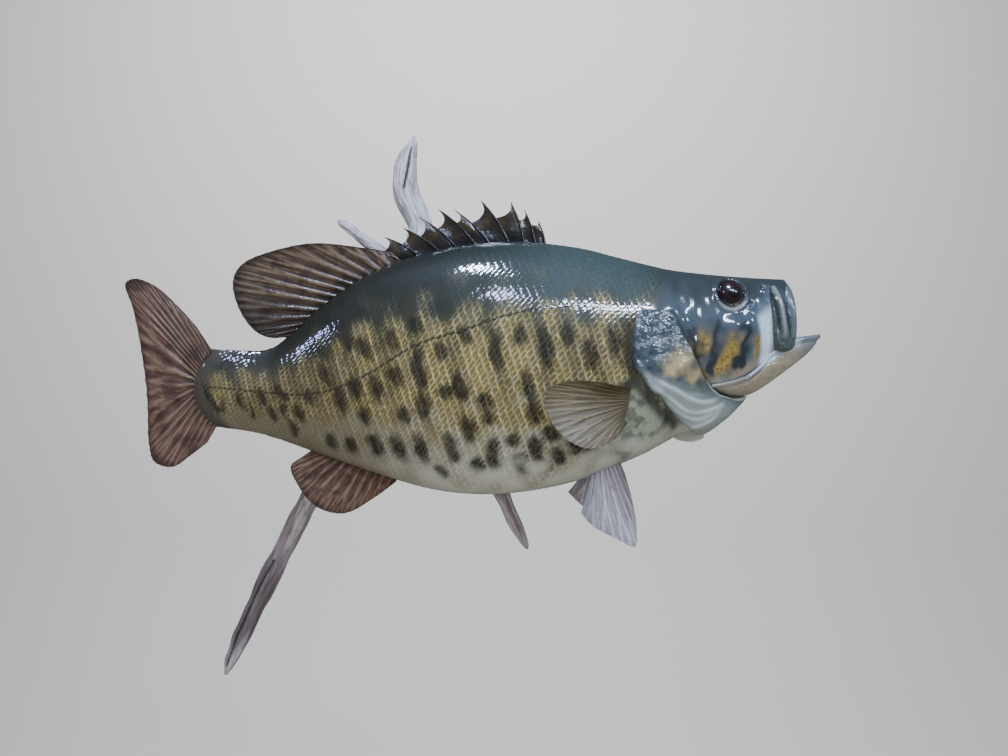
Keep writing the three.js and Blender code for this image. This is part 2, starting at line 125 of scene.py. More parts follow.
# %% The body, the lower jaw and the mouth as curves
class Form:
    """A row of rounded sections: six curves over `back`."""
    def __init__(self, top, bottom, half, widest, round_top, round_bottom):
        self.top, self.bottom, self.half, self.widest = top, bottom, half, widest
        self.round_top, self.round_bottom = round_top, round_bottom


def even(value):
    """The same value all along."""
    return lambda s: np.full(np.shape(s), float(value))


BODY = Form(
    top=curve([[2, 66], [30, 67], [56, 69], [84, 73], [112, 80], [140, 87], [180, 91], [215, 89], [255, 79.5],
               [285, 66], [315, 44], [330, 29], [342, 20], [356, 17.8], [389, 20]]),
    bottom=curve([[2, 6], [24, -10], [40, -26.5], [56, -37], [68, -36], [80, -42], [98, -51.5], [139, -68],
                  [173, -75.5], [207, -77.7], [239, -74], [272, -64.5], [310, -51], [342, -39], [362, -34],
                  [389, -31]]),
    half=curve([[2, 17], [20, 20.5], [43, 24], [70, 29], [100, 33.5], [140, 36.5], [190, 37], [230, 34.5],
                [260, 30], [290, 23], [320, 15.5], [345, 10.5], [372, 7], [389, 4]]),
    widest=curve([[2, 38], [43, 24], [70, 18], [100, 14], [150, 8], [200, 4], [260, 4], [300, 0], [330, -7],
                  [389, -6]]),
    round_top=curve([[2, 2.3], [43, 3.2], [75, 2.6], [120, 2], [290, 2], [328, 1.45], [345, 1.25],
                     [389, 1.25]]),
    round_bottom=curve([[2, 2], [60, 2], [120, 2.3], [260, 2.2], [389, 2]]),
)
JAW_TOP = curve([[-21, 29], [-7, 27], [2, 24.5], [16, 17], [26, 6.5], [36, 0.5], [57, -4]])
JAW = Form(
    top=JAW_TOP,
    bottom=curve([[-21, 27], [-14, 17.5], [-2, 7.5], [24, -10.3], [40, -13], [57, -8]]),
    half=lambda s: (19.5 * np.sqrt(np.maximum(1 - ((20 - np.minimum(s, 20)) / 41.5) ** 2, 0.002))
                    + np.maximum(s - 20, 0) * 0.13),
    widest=lambda s: JAW_TOP(s) - 1, round_top=even(6), round_bottom=even(2.2),
)
MOUTH = Form(
    top=curve([[-19, 42], [-4, 60], [8, 59], [30, 50], [72, 24]]),
    bottom=curve([[-19, 28], [-10, 19.5], [0, 11.5], [20, -2.5], [45, -8], [72, 8]]),
    half=curve([[-19, 3.5], [-10, 10], [0, 13.8], [20, 16], [45, 14], [72, 5]]),
    widest=curve([[-19, 36], [0, 34], [20, 22], [45, 14], [72, 16]]),
    round_top=even(2.2), round_bottom=even(2.4),
)
TAIL_END = 389
print("greatest depth", round(float(np.max(BODY.top(np.arange(400)) - BODY.bottom(np.arange(400)))), 1), "mm")


# %% Half sections, evenly spaced along the skin
FLESH_END, FLESH_ARC, ARC_MIDDLE, ARC_REACH = 372, 12, -7, 26
SECTION_STEPS = 180


def beyond_flesh(back, up):
    """Millimetres behind the arc where the tail stock's flesh thins out over the fin's rays."""
    bow = 1 - np.minimum(((up - ARC_MIDDLE) / ARC_REACH) ** 2, 1.1)
    return back - FLESH_END - FLESH_ARC * bow


def thinned_at_tail(back, up):
    """The share of its thickness that the body keeps."""
    return 1 - 0.8 * step(0, 9, beyond_flesh(back, up))


def half_sections(form, backs, count, grow=0.0):
    """The right half of each section, top midline to bottom one: out, up, and length along the skin."""
    s = np.asarray(backs, float)[:, None]
    t = np.linspace(0, 1, SECTION_STEPS)[None, :]

    def quarter(roundness):
        """A quarter of a rounded section: 2 is an ellipse, more is squarer."""
        k = roundness / 2
        angle = (math.pi / 2) * t ** k / (t ** k + (1 - t) ** k)
        return np.clip(np.cos(angle), 0, 1) ** (1 / k), np.sin(angle) ** (1 / k)

    middle = form.widest(s)
    wide, high = quarter(form.round_top(s))
    under_wide, low = quarter(form.round_bottom(s))
    out = (form.half(s) + grow) * np.concatenate([wide[:, ::-1], under_wide[:, 1:]], 1)
    up = np.concatenate([middle + (form.top(s) - middle + grow) * high[:, ::-1],
                         middle - (middle - form.bottom(s) + grow) * low[:, 1:]], 1)
    out = out * thinned_at_tail(s, up)
    run = np.concatenate([np.zeros((len(s), 1)), np.cumsum(np.hypot(np.diff(out), np.diff(up)), 1)], 1)
    share = np.linspace(0, 1, count + 1)
    rows = np.array([[np.interp(share * r[-1], r, values) for values in (o, u)]
                     for o, u, r in zip(out, up, run)])
    return rows[:, 0], rows[:, 1], run[:, -1]


def unit(vectors):
    return vectors / np.maximum(np.linalg.norm(vectors, axis=-1, keepdims=True), 1e-12)


class Flank:
    """One side of the body as a sheet: `back` along it, `down` in millimetres over the skin from the back."""
    STEPS = 360

    def __init__(self, form, first, last):
        self.backs = np.arange(first, last + 0.5, 1.0)
        self.out, self.up, self.length = half_sections(form, self.backs, self.STEPS)

    def at(self, back, down):
        """Fish coordinates (back, out, up) of points given over the skin."""
        back, down = np.broadcast_arrays(np.asarray(back, float), np.asarray(down, float))
        i = np.clip(back - self.backs[0], 0, len(self.backs) - 1.001)
        i0 = i.astype(int)
        fraction = i - i0
        length = self.length[i0] * (1 - fraction) + self.length[i0 + 1] * fraction
        j = np.clip(down / length, 0, 1) * (self.STEPS - 0.001)
        j0 = j.astype(int)
        across = j - j0
        found = []
        for table in (self.out, self.up):
            near = table[i0, j0] * (1 - across) + table[i0, j0 + 1] * across
            far = table[i0 + 1, j0] * (1 - across) + table[i0 + 1, j0 + 1] * across
            found.append(near * (1 - fraction) + far * fraction)
        return back, found[0], found[1]

    def down_at(self, back, up):
        """How far over the skin a height lies."""
        found = []
        for s, z in zip(np.ravel(back), np.ravel(up)):
            i = int(np.clip(round(s - self.backs[0]), 0, len(self.backs) - 1))
            found.append(np.interp(-z, -self.up[i], np.linspace(0, self.length[i], self.STEPS + 1)))
        return np.array(found)

    def span(self, back):
        """Millimetres over the skin from back to belly."""
        return np.interp(back, self.backs, self.length)

    def axes(self, back, down, side):
        """World place, outward normal and tailward direction."""
        def world(b, d):
            b, out, up = self.at(b, d)
            return place(b, side * out, up)
        tail = world(back + 0.6, down) - world(back - 0.6, down)
        over = world(back, down + 0.6) - world(back, down - 0.6)
        normal = np.cross(tail, over) * side
        return world(back, down), unit(normal), unit(tail)


FLANK = Flank(BODY, 2, TAIL_END)
print("the skin measures", round(float(FLANK.span(190))), "mm from back to belly at its deepest")

# %% [markdown]
# The same few helpers make every mesh: a mesh from numpy arrays, a skin over rows of rings, a cut with
# Blender's Boolean, and named values stored on the points for the finishes to read. Numpy moves a hundred
# thousand points in one line, where a loop over them would take a long while.

# %% Mesh helpers
SMOOTH_UNDER = math.radians(50)


def new_piece(name, points, faces, sharp=SMOOTH_UNDER):
    """A mesh object from points in metres and faces as lists of point numbers."""
    mesh = bpy.data.meshes.new(name)
    mesh.from_pydata(np.asarray(points).tolist(), [], [list(map(int, face)) for face in faces])
    piece = bpy.data.objects.new(name, mesh)
    bpy.context.scene.collection.objects.link(piece)
    tidy(piece, sharp)
    return piece


def tidy(piece, sharp=SMOOTH_UNDER, turn_out=True):
    """Faces outwards, smooth but for real edges."""
    if turn_out:
        work = bmesh.new()
        work.from_mesh(piece.data)
        bmesh.ops.recalc_face_normals(work, faces=work.faces)
        work.to_mesh(piece.data)
        work.free()
    piece.data.shade_smooth()
    if sharp:
        piece.data.set_sharp_from_angle(angle=sharp)


def coordinates(piece):
    found = np.empty(len(piece.data.vertices) * 3)
    piece.data.vertices.foreach_get("co", found)
    return found.reshape(-1, 3)


def normals(piece):
    found = np.empty(len(piece.data.vertices) * 3, np.float32)
    piece.data.vertex_normals.foreach_get("vector", found)
    return found.reshape(-1, 3).astype(float)


def move(piece, points):
    piece.data.vertices.foreach_set("co", np.asarray(points, np.float32).ravel())
    piece.data.update()


def mark(piece, **values):
    """Stores one number for each point under a name, for the finishes."""
    for name, value in values.items():
        stored = piece.data.attributes.get(name) or piece.data.attributes.new(name, "FLOAT", "POINT")
        stored.data.foreach_set("value", np.broadcast_to(value, len(piece.data.vertices)).astype(np.float32))


def read(piece, name):
    found = np.empty(len(piece.data.vertices), np.float32)
    piece.data.attributes[name].data.foreach_get("value", found)
    return found.astype(float)


def ring_faces(rings, around, closed_ends=True):
    """Quads between rings of points, and a fan over each end."""
    r, i = np.meshgrid(np.arange(rings - 1), np.arange(around), indexing="ij")
    a, b = r * around + i, r * around + (i + 1) % around
    faces = np.stack([a, b, b + around, a + around], -1).reshape(-1, 4).tolist()
    if closed_ends:
        last, i = (rings - 1) * around, np.arange(around)
        top = rings * around
        faces += np.stack([np.full(around, top), i, (i + 1) % around], -1).tolist()
        faces += np.stack([np.full(around, top + 1), last + (i + 1) % around, last + i], -1).tolist()
    return faces


def skin_over(name, rings, sharp=SMOOTH_UNDER):
    """A closed mesh over rings, an array of (rings, points round, 3)."""
    count, around, _ = rings.shape
    ends = np.stack([rings[0].mean(0), rings[-1].mean(0)])
    return new_piece(name, np.concatenate([rings.reshape(-1, 3), ends]), ring_faces(count, around), sharp)


def loft(name, form, backs, per_side, grow=0.0):
    """A whole closed body from its form's half sections."""
    out, up, _ = half_sections(form, backs, per_side, grow)
    both_out = np.concatenate([out, -out[:, -2:0:-1]], 1)
    both_up = np.concatenate([up, up[:, -2:0:-1]], 1)
    return skin_over(name, place(np.asarray(backs, float)[:, None], both_out, both_up))


def cut(piece, cutter, way="DIFFERENCE"):
    """A Boolean that uses the cutter up."""
    change = piece.modifiers.new("cut", "BOOLEAN")
    change.operation, change.object, change.solver = way, cutter, "EXACT"
    change.material_mode = "TRANSFER"
    bake(piece)
    discard(cutter)


def remesh(piece, voxel_mm):
    """Fuses overlapping parts into one skin of small even squares, once the piece is baked."""
    fused = piece.modifiers.new("remesh", "REMESH")
    fused.mode, fused.voxel_size = "VOXEL", voxel_mm * MM


def bake(piece):
    """Turns a piece's modifiers into plain mesh."""
    result = bpy.data.meshes.new_from_object(piece.evaluated_get(bpy.context.evaluated_depsgraph_get()))
    piece.modifiers.clear()
    piece.data = result


def discard(piece):
    mesh = piece.data
    bpy.data.objects.remove(piece)
    bpy.data.meshes.remove(mesh)


def side_slab(name, outline, reach=60):
    """A side outline in [back, up], pushed straight through the fish."""
    back, up = np.array(outline, float).T
    rings = np.repeat(place(back, 0, up)[None], 2, 0)
    rings[..., 1] = (MIDPLANE_Y + np.array([-reach, reach])[:, None]) * MM
    return skin_over(name, rings, sharp=None)


def along_line(back, up, line):
    """Distance to a line of [back, up] points, and how far along it (0..1) the nearest place is."""
    line = np.array(line, float)
    legs = np.hypot(*np.diff(line, axis=0).T)
    best, where, done = np.full(np.shape(back), 1e9), np.zeros(np.shape(back)), 0.0
    for (a, b), leg in zip(zip(line[:-1], line[1:]), legs):
        t = np.clip(((back - a[0]) * (b[0] - a[0]) + (up - a[1]) * (b[1] - a[1])) / leg ** 2, 0, 1)
        distance = np.hypot(back - a[0] - t * (b[0] - a[0]), up - a[1] - t * (b[1] - a[1]))
        where = np.where(distance < best, (done + t * leg) / legs.sum(), where)
        best = np.minimum(best, distance)
        done += leg
    return best, where


def ripple(points, size, seed=0):
    """A smooth random value of about -1..1 with features of a given size, the same each run."""
    random = np.random.default_rng(seed)
    total = np.zeros(len(points))
    for _ in range(12):
        direction = random.normal(size=3)
        direction *= random.uniform(0.6, 1.4) * 2 * math.pi / (size * np.linalg.norm(direction))
        total += np.sin(points @ direction + random.uniform(0, 2 * math.pi))
    return total / 3.4


print("edges of more than", round(math.degrees(SMOOTH_UNDER)), "degrees stay sharp")


# %% [markdown]
# Colours are written the way a paint chart gives them, as sRGB hex, and one function turns them into
# the linear values that a renderer works with. One more function adds a node to a finish. Finishes could
# be wired up node by node, but a painter thinks in coats, so each is written as a list of coats: a colour,
# then what limits how much of it shows.

# %% Finish helpers
def colour(hex_code):
    """A paint chart's sRGB hex as linear red, green, blue and 1."""
    srgb = [int(hex_code[i:i + 2], 16) / 255 for i in (1, 3, 5)]
    return (*(c / 12.92 if c <= 0.04045 else ((c + 0.055) / 1.055) ** 2.4 for c in srgb), 1)


def add(tree, kind, settings=None, **links):
    """Adds a node. `settings` are its properties, `links` its inputs: a value, or another node's socket."""
    node = tree.nodes.new(kind)
    for key, value in (settings or {}).items():
        setattr(node, key, value)
    for key, value in links.items():
        socket = node.inputs[int(key[1:])] if key[1:].isdigit() else node.inputs[key.replace("_", " ")]
        if isinstance(value, bpy.types.NodeSocket):
            tree.links.new(value, socket)
        else:
            socket.default_value = value
    return node


def finish_named(name, shader_settings):
    """A material with its shader's own settings."""
    material = bpy.data.materials.new(name)
    material.use_nodes = True
    shader = material.node_tree.nodes["Principled BSDF"]
    for key, value in shader_settings.items():
        shader.inputs[key].default_value = value
    return material, material.node_tree, shader


def amount(tree, *limits):
    """The product of its limits. Each is a number, a node's output, the name of a value stored on the
    points, or a range: (value, low, high) goes from 0 to 1, (value, low, high, least, most) between those."""
    product = None
    for limit in limits:
        if isinstance(limit, str):
            limit = add(tree, "ShaderNodeAttribute", {"attribute_name": limit}).outputs["Fac"]
        elif isinstance(limit, tuple):
            value, low, high, least, most = (*limit, 0.0, 1.0)[:5]
            limit = add(tree, "ShaderNodeMapRange", {"clamp": True, "interpolation_type": "SMOOTHSTEP"},
                        Value=amount(tree, value), From_Min=low, From_Max=high,
                        To_Min=least, To_Max=most).outputs[0]
        product = limit if product is None else add(tree, "ShaderNodeMath", {"operation": "MULTIPLY"},
                                                    i0=product, i1=limit).outputs[0]
    return product


def layered(tree, ground, *coats):
    """Coats of paint over a ground colour. A coat is its colour, then the limits of its amount. Colours are
    hex codes, or layered paint from another call."""
    mixed = lambda tint: colour(tint) if isinstance(tint, str) else tint
    paint = mixed(ground)
    for tint, *limits in coats:
        paint = add(tree, "ShaderNodeMix", {"data_type": "RGBA", "clamp_factor": True},
                    i0=amount(tree, *limits), i6=paint, i7=mixed(tint)).outputs[2]
    return paint


def speckle(tree, size_mm, detail=2.0, rough=0.5):
    """Cloudy noise whose clouds are about size_mm across."""
    here = add(tree, "ShaderNodeTexCoord").outputs["Object"]
    return add(tree, "ShaderNodeTexNoise", Vector=here, Scale=1 / (size_mm * MM), Detail=detail,
               Roughness=rough).outputs["Fac"]


def raise_by(tree, shader, height, distance_mm, strength=1.0, inputs=("Normal",)):
    """Bump: the height is 0..1 and stands for distance_mm."""
    bump = add(tree, "ShaderNodeBump", Height=height, Distance=distance_mm * MM, Strength=strength)
    for name in inputs:
        tree.links.new(bump.outputs[0], shader.inputs[name])


def put_on(piece, material):
    """Gives a piece one finish, in its only material slot."""
    piece.data.materials.clear()
    piece.data.materials.append(material)


PAINT_AND_VARNISH = ("Normal", "Coat Normal")
# Two-part gloss varnish over matt paint: a clear coat that is smooth, with the index of hard resin, gives
# the eye small sharp highlights, and the rough base gives it soft colour.
VARNISH = {"Coat Weight": 1.0, "Coat Roughness": 0.08, "Coat IOR": 1.5, "Roughness": 0.5, "IOR": 1.45,
           "Specular IOR Level": 0.22}
print("a varnished surface:", VARNISH)

# %% [markdown]
# Head, trunk and tail stock could be three meshes, but the skin of a mount is one piece, so here it is one
# closed mesh from the lips to the root of the tail, and no seam shows. Its rings lie close together on the
# head, where the bones show, and further apart on the trunk, which the scales cover. It lies inside the
# solids by the depth of the scales. The mouth is cut out of it, and the lower jaw, which hangs from it, is
# a piece of its own with a crease between them. The jaw's cut edges are rounded by a fine remesh.

# %% Relief of the head
COAT = 0.35  # how deep the skin lies in the solids, to leave room for the scales
EYE = {"back": 43.5, "out": 14.8, "up": 53.8, "radius": 10}
CREASE = [[84, 41], [82.9, 38.7], [76.9, 29], [69.6, 15.8], [62.4, 1.3], [57.6, -4.2], [51.5, -5.4], [43, -3],
          [34.6, 0.6], [26.1, 6.1]]
CHEEK_FRONT = [[31, 42], [26, 36], [23, 26.4], [22.8, 18], [24, 11]]
NOSTRILS = [[31.2, 47.4, 2.0], [21.6, 58.5, 1.7]]
SCALES_START = curve([[-90, 84], [-60, 78], [-38, 66], [-25, 76], [-10, 92], [0, 99], [40, 99], [52, 92],
                      [66, 84], [95, 78]])


def head_relief(back, up):
    """How far bones and folds stand out of the plain head, in millimetres."""
    eye = np.hypot(back - EYE["back"], up - EYE["up"])
    clear_of_eye = step(10, 14, eye)
    crease, _ = along_line(back, up, CREASE)
    before_crease, _ = along_line(back + 3.6, up - 1.6, CREASE)
    cheek_front, _ = along_line(back, up, CHEEK_FRONT)
    relief = 1.0 * bell(eye - 10.6, 1.3) - 2.2 * step(10, 8.6, eye)
    relief += 0.8 * bell(before_crease, 2.6) - 1.1 * bell(crease, 1.1)
    relief += 0.5 * bell(cheek_front - 2.5, 2.2) * step(24, 27, back)
    relief -= 0.9 * step(17, 20, back) * step(29, 25, back) * step(8, 14, up) * step(44, 38, up)
    relief += 0.5 * bell(np.hypot(back - 45, up - 20) - 2, 13) * step(12, 17, eye)
    relief += 3.2 * bell(np.hypot((back - 41) / 13, (up - 32) / 8), 1) * step(9.6, 12.5, eye)
    relief += 0.3 * ripple(np.stack([back, up, 0 * up], 1), 16, 41) * clear_of_eye
    for at, height, size in NOSTRILS:
        away = np.hypot(back - at, up - height)
        relief += 0.45 * bell(away - size - 0.5, 0.8) - 1.5 * bell(away, size * 0.75)
    return relief * step(2, -8, back - SCALES_START(up))


eye_rim = head_relief(np.array([EYE["back"] + 10.6]), np.array([EYE["up"]]))
print("the rim of the eye stands out", round(float(eye_rim[0]), 2), "mm")


# %% Skin of the head, trunk and tail stock, with the mouth cut out
JAW_SIDE = [[-23, 24], [-23, 33], [-7, 30], [2, 24.5], [16, 17], [26, 6.5], [36, 0.5], [57, -4], [57, -6],
            [51, -10.5], [40, -14], [24, -12], [10, -6], [-8, 6]]
ahead = np.arange(4, 100, 0.8)
behind = np.linspace(100, TAIL_END, 136)
skin = loft("skin", BODY, np.concatenate([ahead, behind]), 132, grow=-COAT)
back, out, up = fish_coordinates(coordinates(skin))
sideways = step(0.25, 0.6, np.abs(out) / np.maximum(BODY.half(back), 1))
move(skin, coordinates(skin) + normals(skin) * (head_relief(back, up) * sideways * MM)[:, None])

hollow_backs = np.arange(-19, 72.5, 1.5)
# Painted resin inside the mouth gives the eye a pale, wet, even surface.
mouth_lining = finish_named("wet mouth lining, painted resin",
                            {"Base Color": colour("#c9b9a6"), **VARNISH})[0]


def mouth_hollow():
    """A cutter that leaves the lining on the walls it makes."""
    hollow = loft("mouth hollow", MOUTH, hollow_backs, 26)
    hollow.data.materials.append(mouth_lining)
    return hollow


cut(skin, side_slab("jaw room", JAW_SIDE))
cut(skin, mouth_hollow())
tidy(skin)
print("skin:", len(skin.data.polygons), "faces")

# %% Lower jaw
CHIN_PORES = (-8, 0, 9, 18, 27)
LIP_LINE = [[-1, 18.6], [8, 14.6], [16.5, 10.3], [21, 7.7], [28, 3.2], [34, 0.5]]
jaw = loft("lower_jaw_skin", JAW, np.arange(-21, 57.1, 0.9), 60)
cut(jaw, side_slab("jaw side", JAW_SIDE), "INTERSECT")
cut(jaw, mouth_hollow())
remesh(jaw, 0.55)
ease = jaw.modifiers.new("ease", "SMOOTH")
ease.factor, ease.iterations = 0.5, 5
bake(jaw)
back, out, up = fish_coordinates(coordinates(jaw))
rim = JAW.top(back) - up
lip = 0.5 * bell(rim - 1.6, 1.3) - 0.35 * bell(rim - 4.2, 1.0)
pores = sum(bell(np.hypot(back - s, up - JAW.bottom(np.array(s)) - 5.5), 0.9) for s in CHIN_PORES)
web_line, _ = along_line(back, up, LIP_LINE)
move(jaw, coordinates(jaw) + normals(jaw) * ((lip - 0.4 * pores - 0.5 * bell(web_line, 0.9)) * MM)[:, None])
drawn_in = 2.6 * step(-6, 2, back) * step(26, 16, back) * step(8, 14, up)
points = coordinates(jaw)
points[:, 1] += np.sign(out) * np.minimum(drawn_in, np.abs(out) * 0.3) * MM
move(jaw, points)
tidy(jaw)
print("lower jaw:", len(jaw.data.polygons), "faces")

# %% [markdown]
# The bony plates of the face lie on the head like shingles. They could be raised from the head's own mesh,
# but then their free edges would cast no shadow. So each is an outline drawn from the side, filled with
# small triangles over the skin's own sheet, thick in the middle and rounded off at its rim. Ribs, folds and
# grooves are heights added to its upper face. The upper lip is an arch of rings from side to side.

# %% Plates of the face
def rounded_outline(outline, spacing):
    """A closed smooth line through the outline's corners, as evenly spaced points."""
    p = np.array(outline, float)
    before, after, beyond = np.roll(p, 1, 0), np.roll(p, -1, 0), np.roll(p, -2, 0)
    t = np.linspace(0, 1, 12, endpoint=False)[None, :, None]
    p, before, after, beyond = (corner[:, None, :] for corner in (p, before, after, beyond))
    line = 0.5 * (2 * p + (after - before) * t + (2 * before - 5 * p + 4 * after - beyond) * t ** 2
                  + (3 * p - before - 3 * after + beyond) * t ** 3)
    line = line.reshape(-1, 2)
    line = np.concatenate([line, line[:1]])
    run = np.concatenate([[0], np.cumsum(np.hypot(*np.diff(line, axis=0).T))])
    even_run = np.linspace(0, run[-1], int(run[-1] / spacing), endpoint=False)
    return np.stack([np.interp(even_run, run, line[:, k]) for k in (0, 1)], 1)


def distance_to_nearest(points, others):
    return np.min(np.hypot(*(points[:, None] - others[None]).transpose(2, 0, 1)), 1)


def filled(outline, spacing):
    """Points and triangles inside a closed outline, and each point's distance from its rim."""
    rim = rounded_outline(outline, spacing)
    low, high = rim.min(0), rim.max(0)
    x, y = np.meshgrid(np.arange(low[0], high[0], spacing), np.arange(low[1], high[1], spacing * 0.866))
    x = x + (np.arange(len(x)) % 2)[:, None] * spacing / 2
    inner = np.stack([x.ravel(), y.ravel()], 1)
    every = np.concatenate([rim, inner[distance_to_nearest(inner, rim) > spacing * 0.6]])
    points, _, faces, *_ = delaunay_2d_cdt([tuple(v) for v in every], [], [list(range(len(rim)))], 1, 1e-6)
    points = np.array([tuple(v) for v in points])
    return points, faces, distance_to_nearest(points, rim)


def plate(name, outline, side, thick, under, spacing, relief, bevel, fade):
    """A plate over the flank: `thick` out from the body, `under` into it, and thin where it fades."""
    corners = np.array(outline, float)
    sheet = np.stack([corners[:, 0], FLANK.down_at(corners[:, 0], corners[:, 1])], 1)
    points, faces, depth = filled(sheet, spacing)
    here, outward, _ = FLANK.axes(points[:, 0], points[:, 1], side)
    back, _, up = FLANK.at(points[:, 0], points[:, 1])
    rounding = np.sqrt(1 - (1 - np.clip(depth / bevel, 0, 1)) ** 2)
    sunk = fade(back, up)
    height = thick * (0.25 + 0.75 * rounding) * (1 - sunk)
    height += relief(back, up) * step(0, 1.5, depth) * (1 - 0.5 * sunk)
    upper = here + outward * (height * MM)[:, None]
    lower = here - outward * (under * (0.2 + 0.8 * rounding) * MM)[:, None]
    count = len(points)
    edge = {(a, b) for face in faces for a, b in zip(face, face[1:] + face[:1])}
    border = [(a, b) for a, b in edge if (b, a) not in edge]
    walls = [[b, a, a + count, b + count] for a, b in border]
    piece = new_piece(name, np.concatenate([upper, lower]),
                      [list(f) for f in faces] + [[i + count for i in reversed(f)] for f in faces] + walls)
    both = lambda values: np.concatenate([values, values])
    mark(piece, depth=both(depth), back=both(back), up=both(up))
    return piece


test_plate = filled([[0, 5], [5, 0], [0, -5], [-5, 0]], 0.9)
print("a plate 10 mm across needs", len(test_plate[1]), "triangles on each face")


# %% Gill covers
GILL_COVER = [[83, 40], [90, 42.6], [102, 43], [107, 35], [109, 25], [108.7, 8], [104, 2], [97, -8],
              [91, -12], [86, -18], [79, -25], [71, -31], [65, -35], [56, -38.5], [48, -34], [40, -28],
              [28, -14], [40, -14.5], [52, -11], [58, -6], [63, 1.5], [70, 16], [77, 29]]
FOLDS = [[[42, -8], [49, -12.3], [60, -15.2], [70, -13.6], [82, -7.6], [95, -1.5]],
         [[44, -14], [53, -19], [64, -21.9], [74, -20.2], [86, -12.6], [96, -7]],
         [[46, -17.5], [55, -23], [65, -26.4], [76, -23.4], [86, -17]],
         [[48, -22], [57, -28], [66, -31], [74, -29], [82, -24]]]
OPERCLE_FOOT = [[106, 12], [97, 1], [86, -3.5], [74, -8], [62, -9.5]]


def folds_at(back, up):
    """1 on the crest of a fold of loose skin along the foot of the cover, 0 between folds."""
    crests = 0
    for fold in FOLDS:
        front, rear = fold[0][0], fold[-1][0]
        there = step(front - 2, front + 6, back) * step(rear + 2, rear - 6, back)
        crests = crests + bell((up - curve(fold)(back)) * 0.85, 1.25) * there
    return np.clip(crests, 0, 1)


def gill_relief(back, up):
    foot, _ = along_line(back, up, OPERCLE_FOOT)
    crown = bell(np.hypot((back - 88) / 20, (up - 5) / 20), 1)
    scallop = 0.35 * np.sin(back / 2.2 + up / 3.2) * step(8, 0, up) * step(80, 92, back)
    uneven = ripple(np.stack([back, up, 0 * back], 1), 13, 31) * 0.28
    return 0.95 * folds_at(back, up) + 3.0 * crown - 0.5 * bell(foot, 1.3) + scallop + uneven


def gill_fade(back, up):
    """The top edge sinks into the nape, and the front tip into the throat."""
    return np.clip(0.95 * step(29, 40, up) + 0.9 * step(64, 44, back) * step(0, -8, up), 0, 0.97)


covers = []
for word, side in (("right", RIGHT), ("left", LEFT)):
    cover = plate(f"gill_cover_plate_{word}", GILL_COVER, side, 1.5, 1.6, 0.9, gill_relief, 2.2, gill_fade)
    back, up, depth = (read(cover, name) for name in ("back", "up", "depth"))
    mark(cover, fold=folds_at(back, up) * step(1, 8, depth), low=step(1, -11, up - 0.3 * (back - 80)))
    covers.append(cover)
print("gill covers:", [len(c.data.polygons) for c in covers])

# %% The wall-side gill membrane hangs below the other
MEMBRANE_ROOT = [[53, -33], [64, -31], [75, -35]]
MEMBRANE_EDGE = [[55, -41], [63, -43.2], [72, -42], [77, -38.5]]


def sheet_mesh(name, back, up, out, thick):
    """A closed sheet of given thickness over a grid (columns, rows) in fish coordinates."""
    near, far = place(back, out + thick / 2, up), place(back, out - thick / 2, up)
    rings = np.concatenate([near, far[:, ::-1]], 1)
    return skin_over(name, rings, sharp=math.radians(70))


def smooth_line(points, share):
    """Back and up at shares 0..1 of a line through evenly shared [back, up] points."""
    at = np.linspace(0, 1, len(points))
    return [curve(np.stack([at, values], 1))(share) for values in np.array(points, float).T]


u, v = np.linspace(0, 1, 41)[:, None], np.linspace(0, 1, 13)[None, :]
back, up = (root * (1 - v) + edge * v
            for root, edge in zip(smooth_line(MEMBRANE_ROOT, u), smooth_line(MEMBRANE_EDGE, u)))
membrane = sheet_mesh("gill_membrane_left", back, up, -4 + 0.3 * np.sin(9 * u + 2 * v), 2.0 - 1.3 * v + 0 * u)
print("gill membrane:", len(membrane.data.polygons), "faces")

# %% Upper lip and its two side bones
LIP_FOOT = {"back": 2.2, "out": 18.6, "up": 26}
LIP_CROWN = {"back": 6, "up": 61.5}
MAXILLA = [[17.2, 58], [13.6, 60], [10, 54], [6.4, 46], [3, 37], [1, 30], [0.6, 23], [3.4, 18.6], [9, 16.8],
           [14.2, 18.6], [16, 26], [16.6, 38], [17.4, 49]]
MAXILLA_RIDGE = [[15, 58], [11.5, 46], [9.5, 32], [9, 21]]


def lip_rings(stops=90, corners=20):
    """Rings along an arch from one corner of the mouth over the snout to the other, with a crease."""
    t = np.linspace(-1, 1, stops)[:, None]
    turn = np.linspace(0, 2 * math.pi, corners, endpoint=False)[None, :]
    angle = t * math.pi / 2
    rise = np.maximum(np.cos(angle), 0) ** 0.85
    run = np.sign(t) * np.abs(np.sin(angle)) ** (2 / 2.9)
    thick, deep = 1.3 + 1.3 * rise, 1.4 + 2.5 * rise
    crease = 1 - 0.16 * bell(np.sin(turn / 2 - 0.6), 0.16)
    back = LIP_FOOT["back"] + (LIP_CROWN["back"] - LIP_FOOT["back"]) * rise ** 2
    back = back + deep * crease * np.cos(turn)
    reach = thick * crease * np.sin(turn)
    out = -LIP_FOOT["out"] * run - np.sin(angle) * reach
    up = LIP_FOOT["up"] + (LIP_CROWN["up"] - LIP_FOOT["up"]) * rise + np.cos(angle) * reach
    return place(back, out, up)


lip_bone = skin_over("upper_lip", lip_rings())


def maxilla_relief(back, up):
    ridge, _ = along_line(back, up, MAXILLA_RIDGE)
    return 1.0 * bell(ridge, 3.2) + 1.6 * step(34, 20, up) - 0.7 * bell(ridge - 4.6, 0.8) * step(24, 34, up)


def maxilla_fade(back, up):
    """The top end sinks under the skin below the nostril."""
    return 0.6 * step(50, 60, up)


side_bones = []
for word, side in (("right", RIGHT), ("left", LEFT)):
    side_bones.append(plate(f"maxilla_plate_{word}", MAXILLA, side, 2.2, 0.1, 0.55, maxilla_relief, 2.4,
                            maxilla_fade))
print("lip and side bones:", len(lip_bone.data.polygons), [len(b.data.polygons) for b in side_bones])

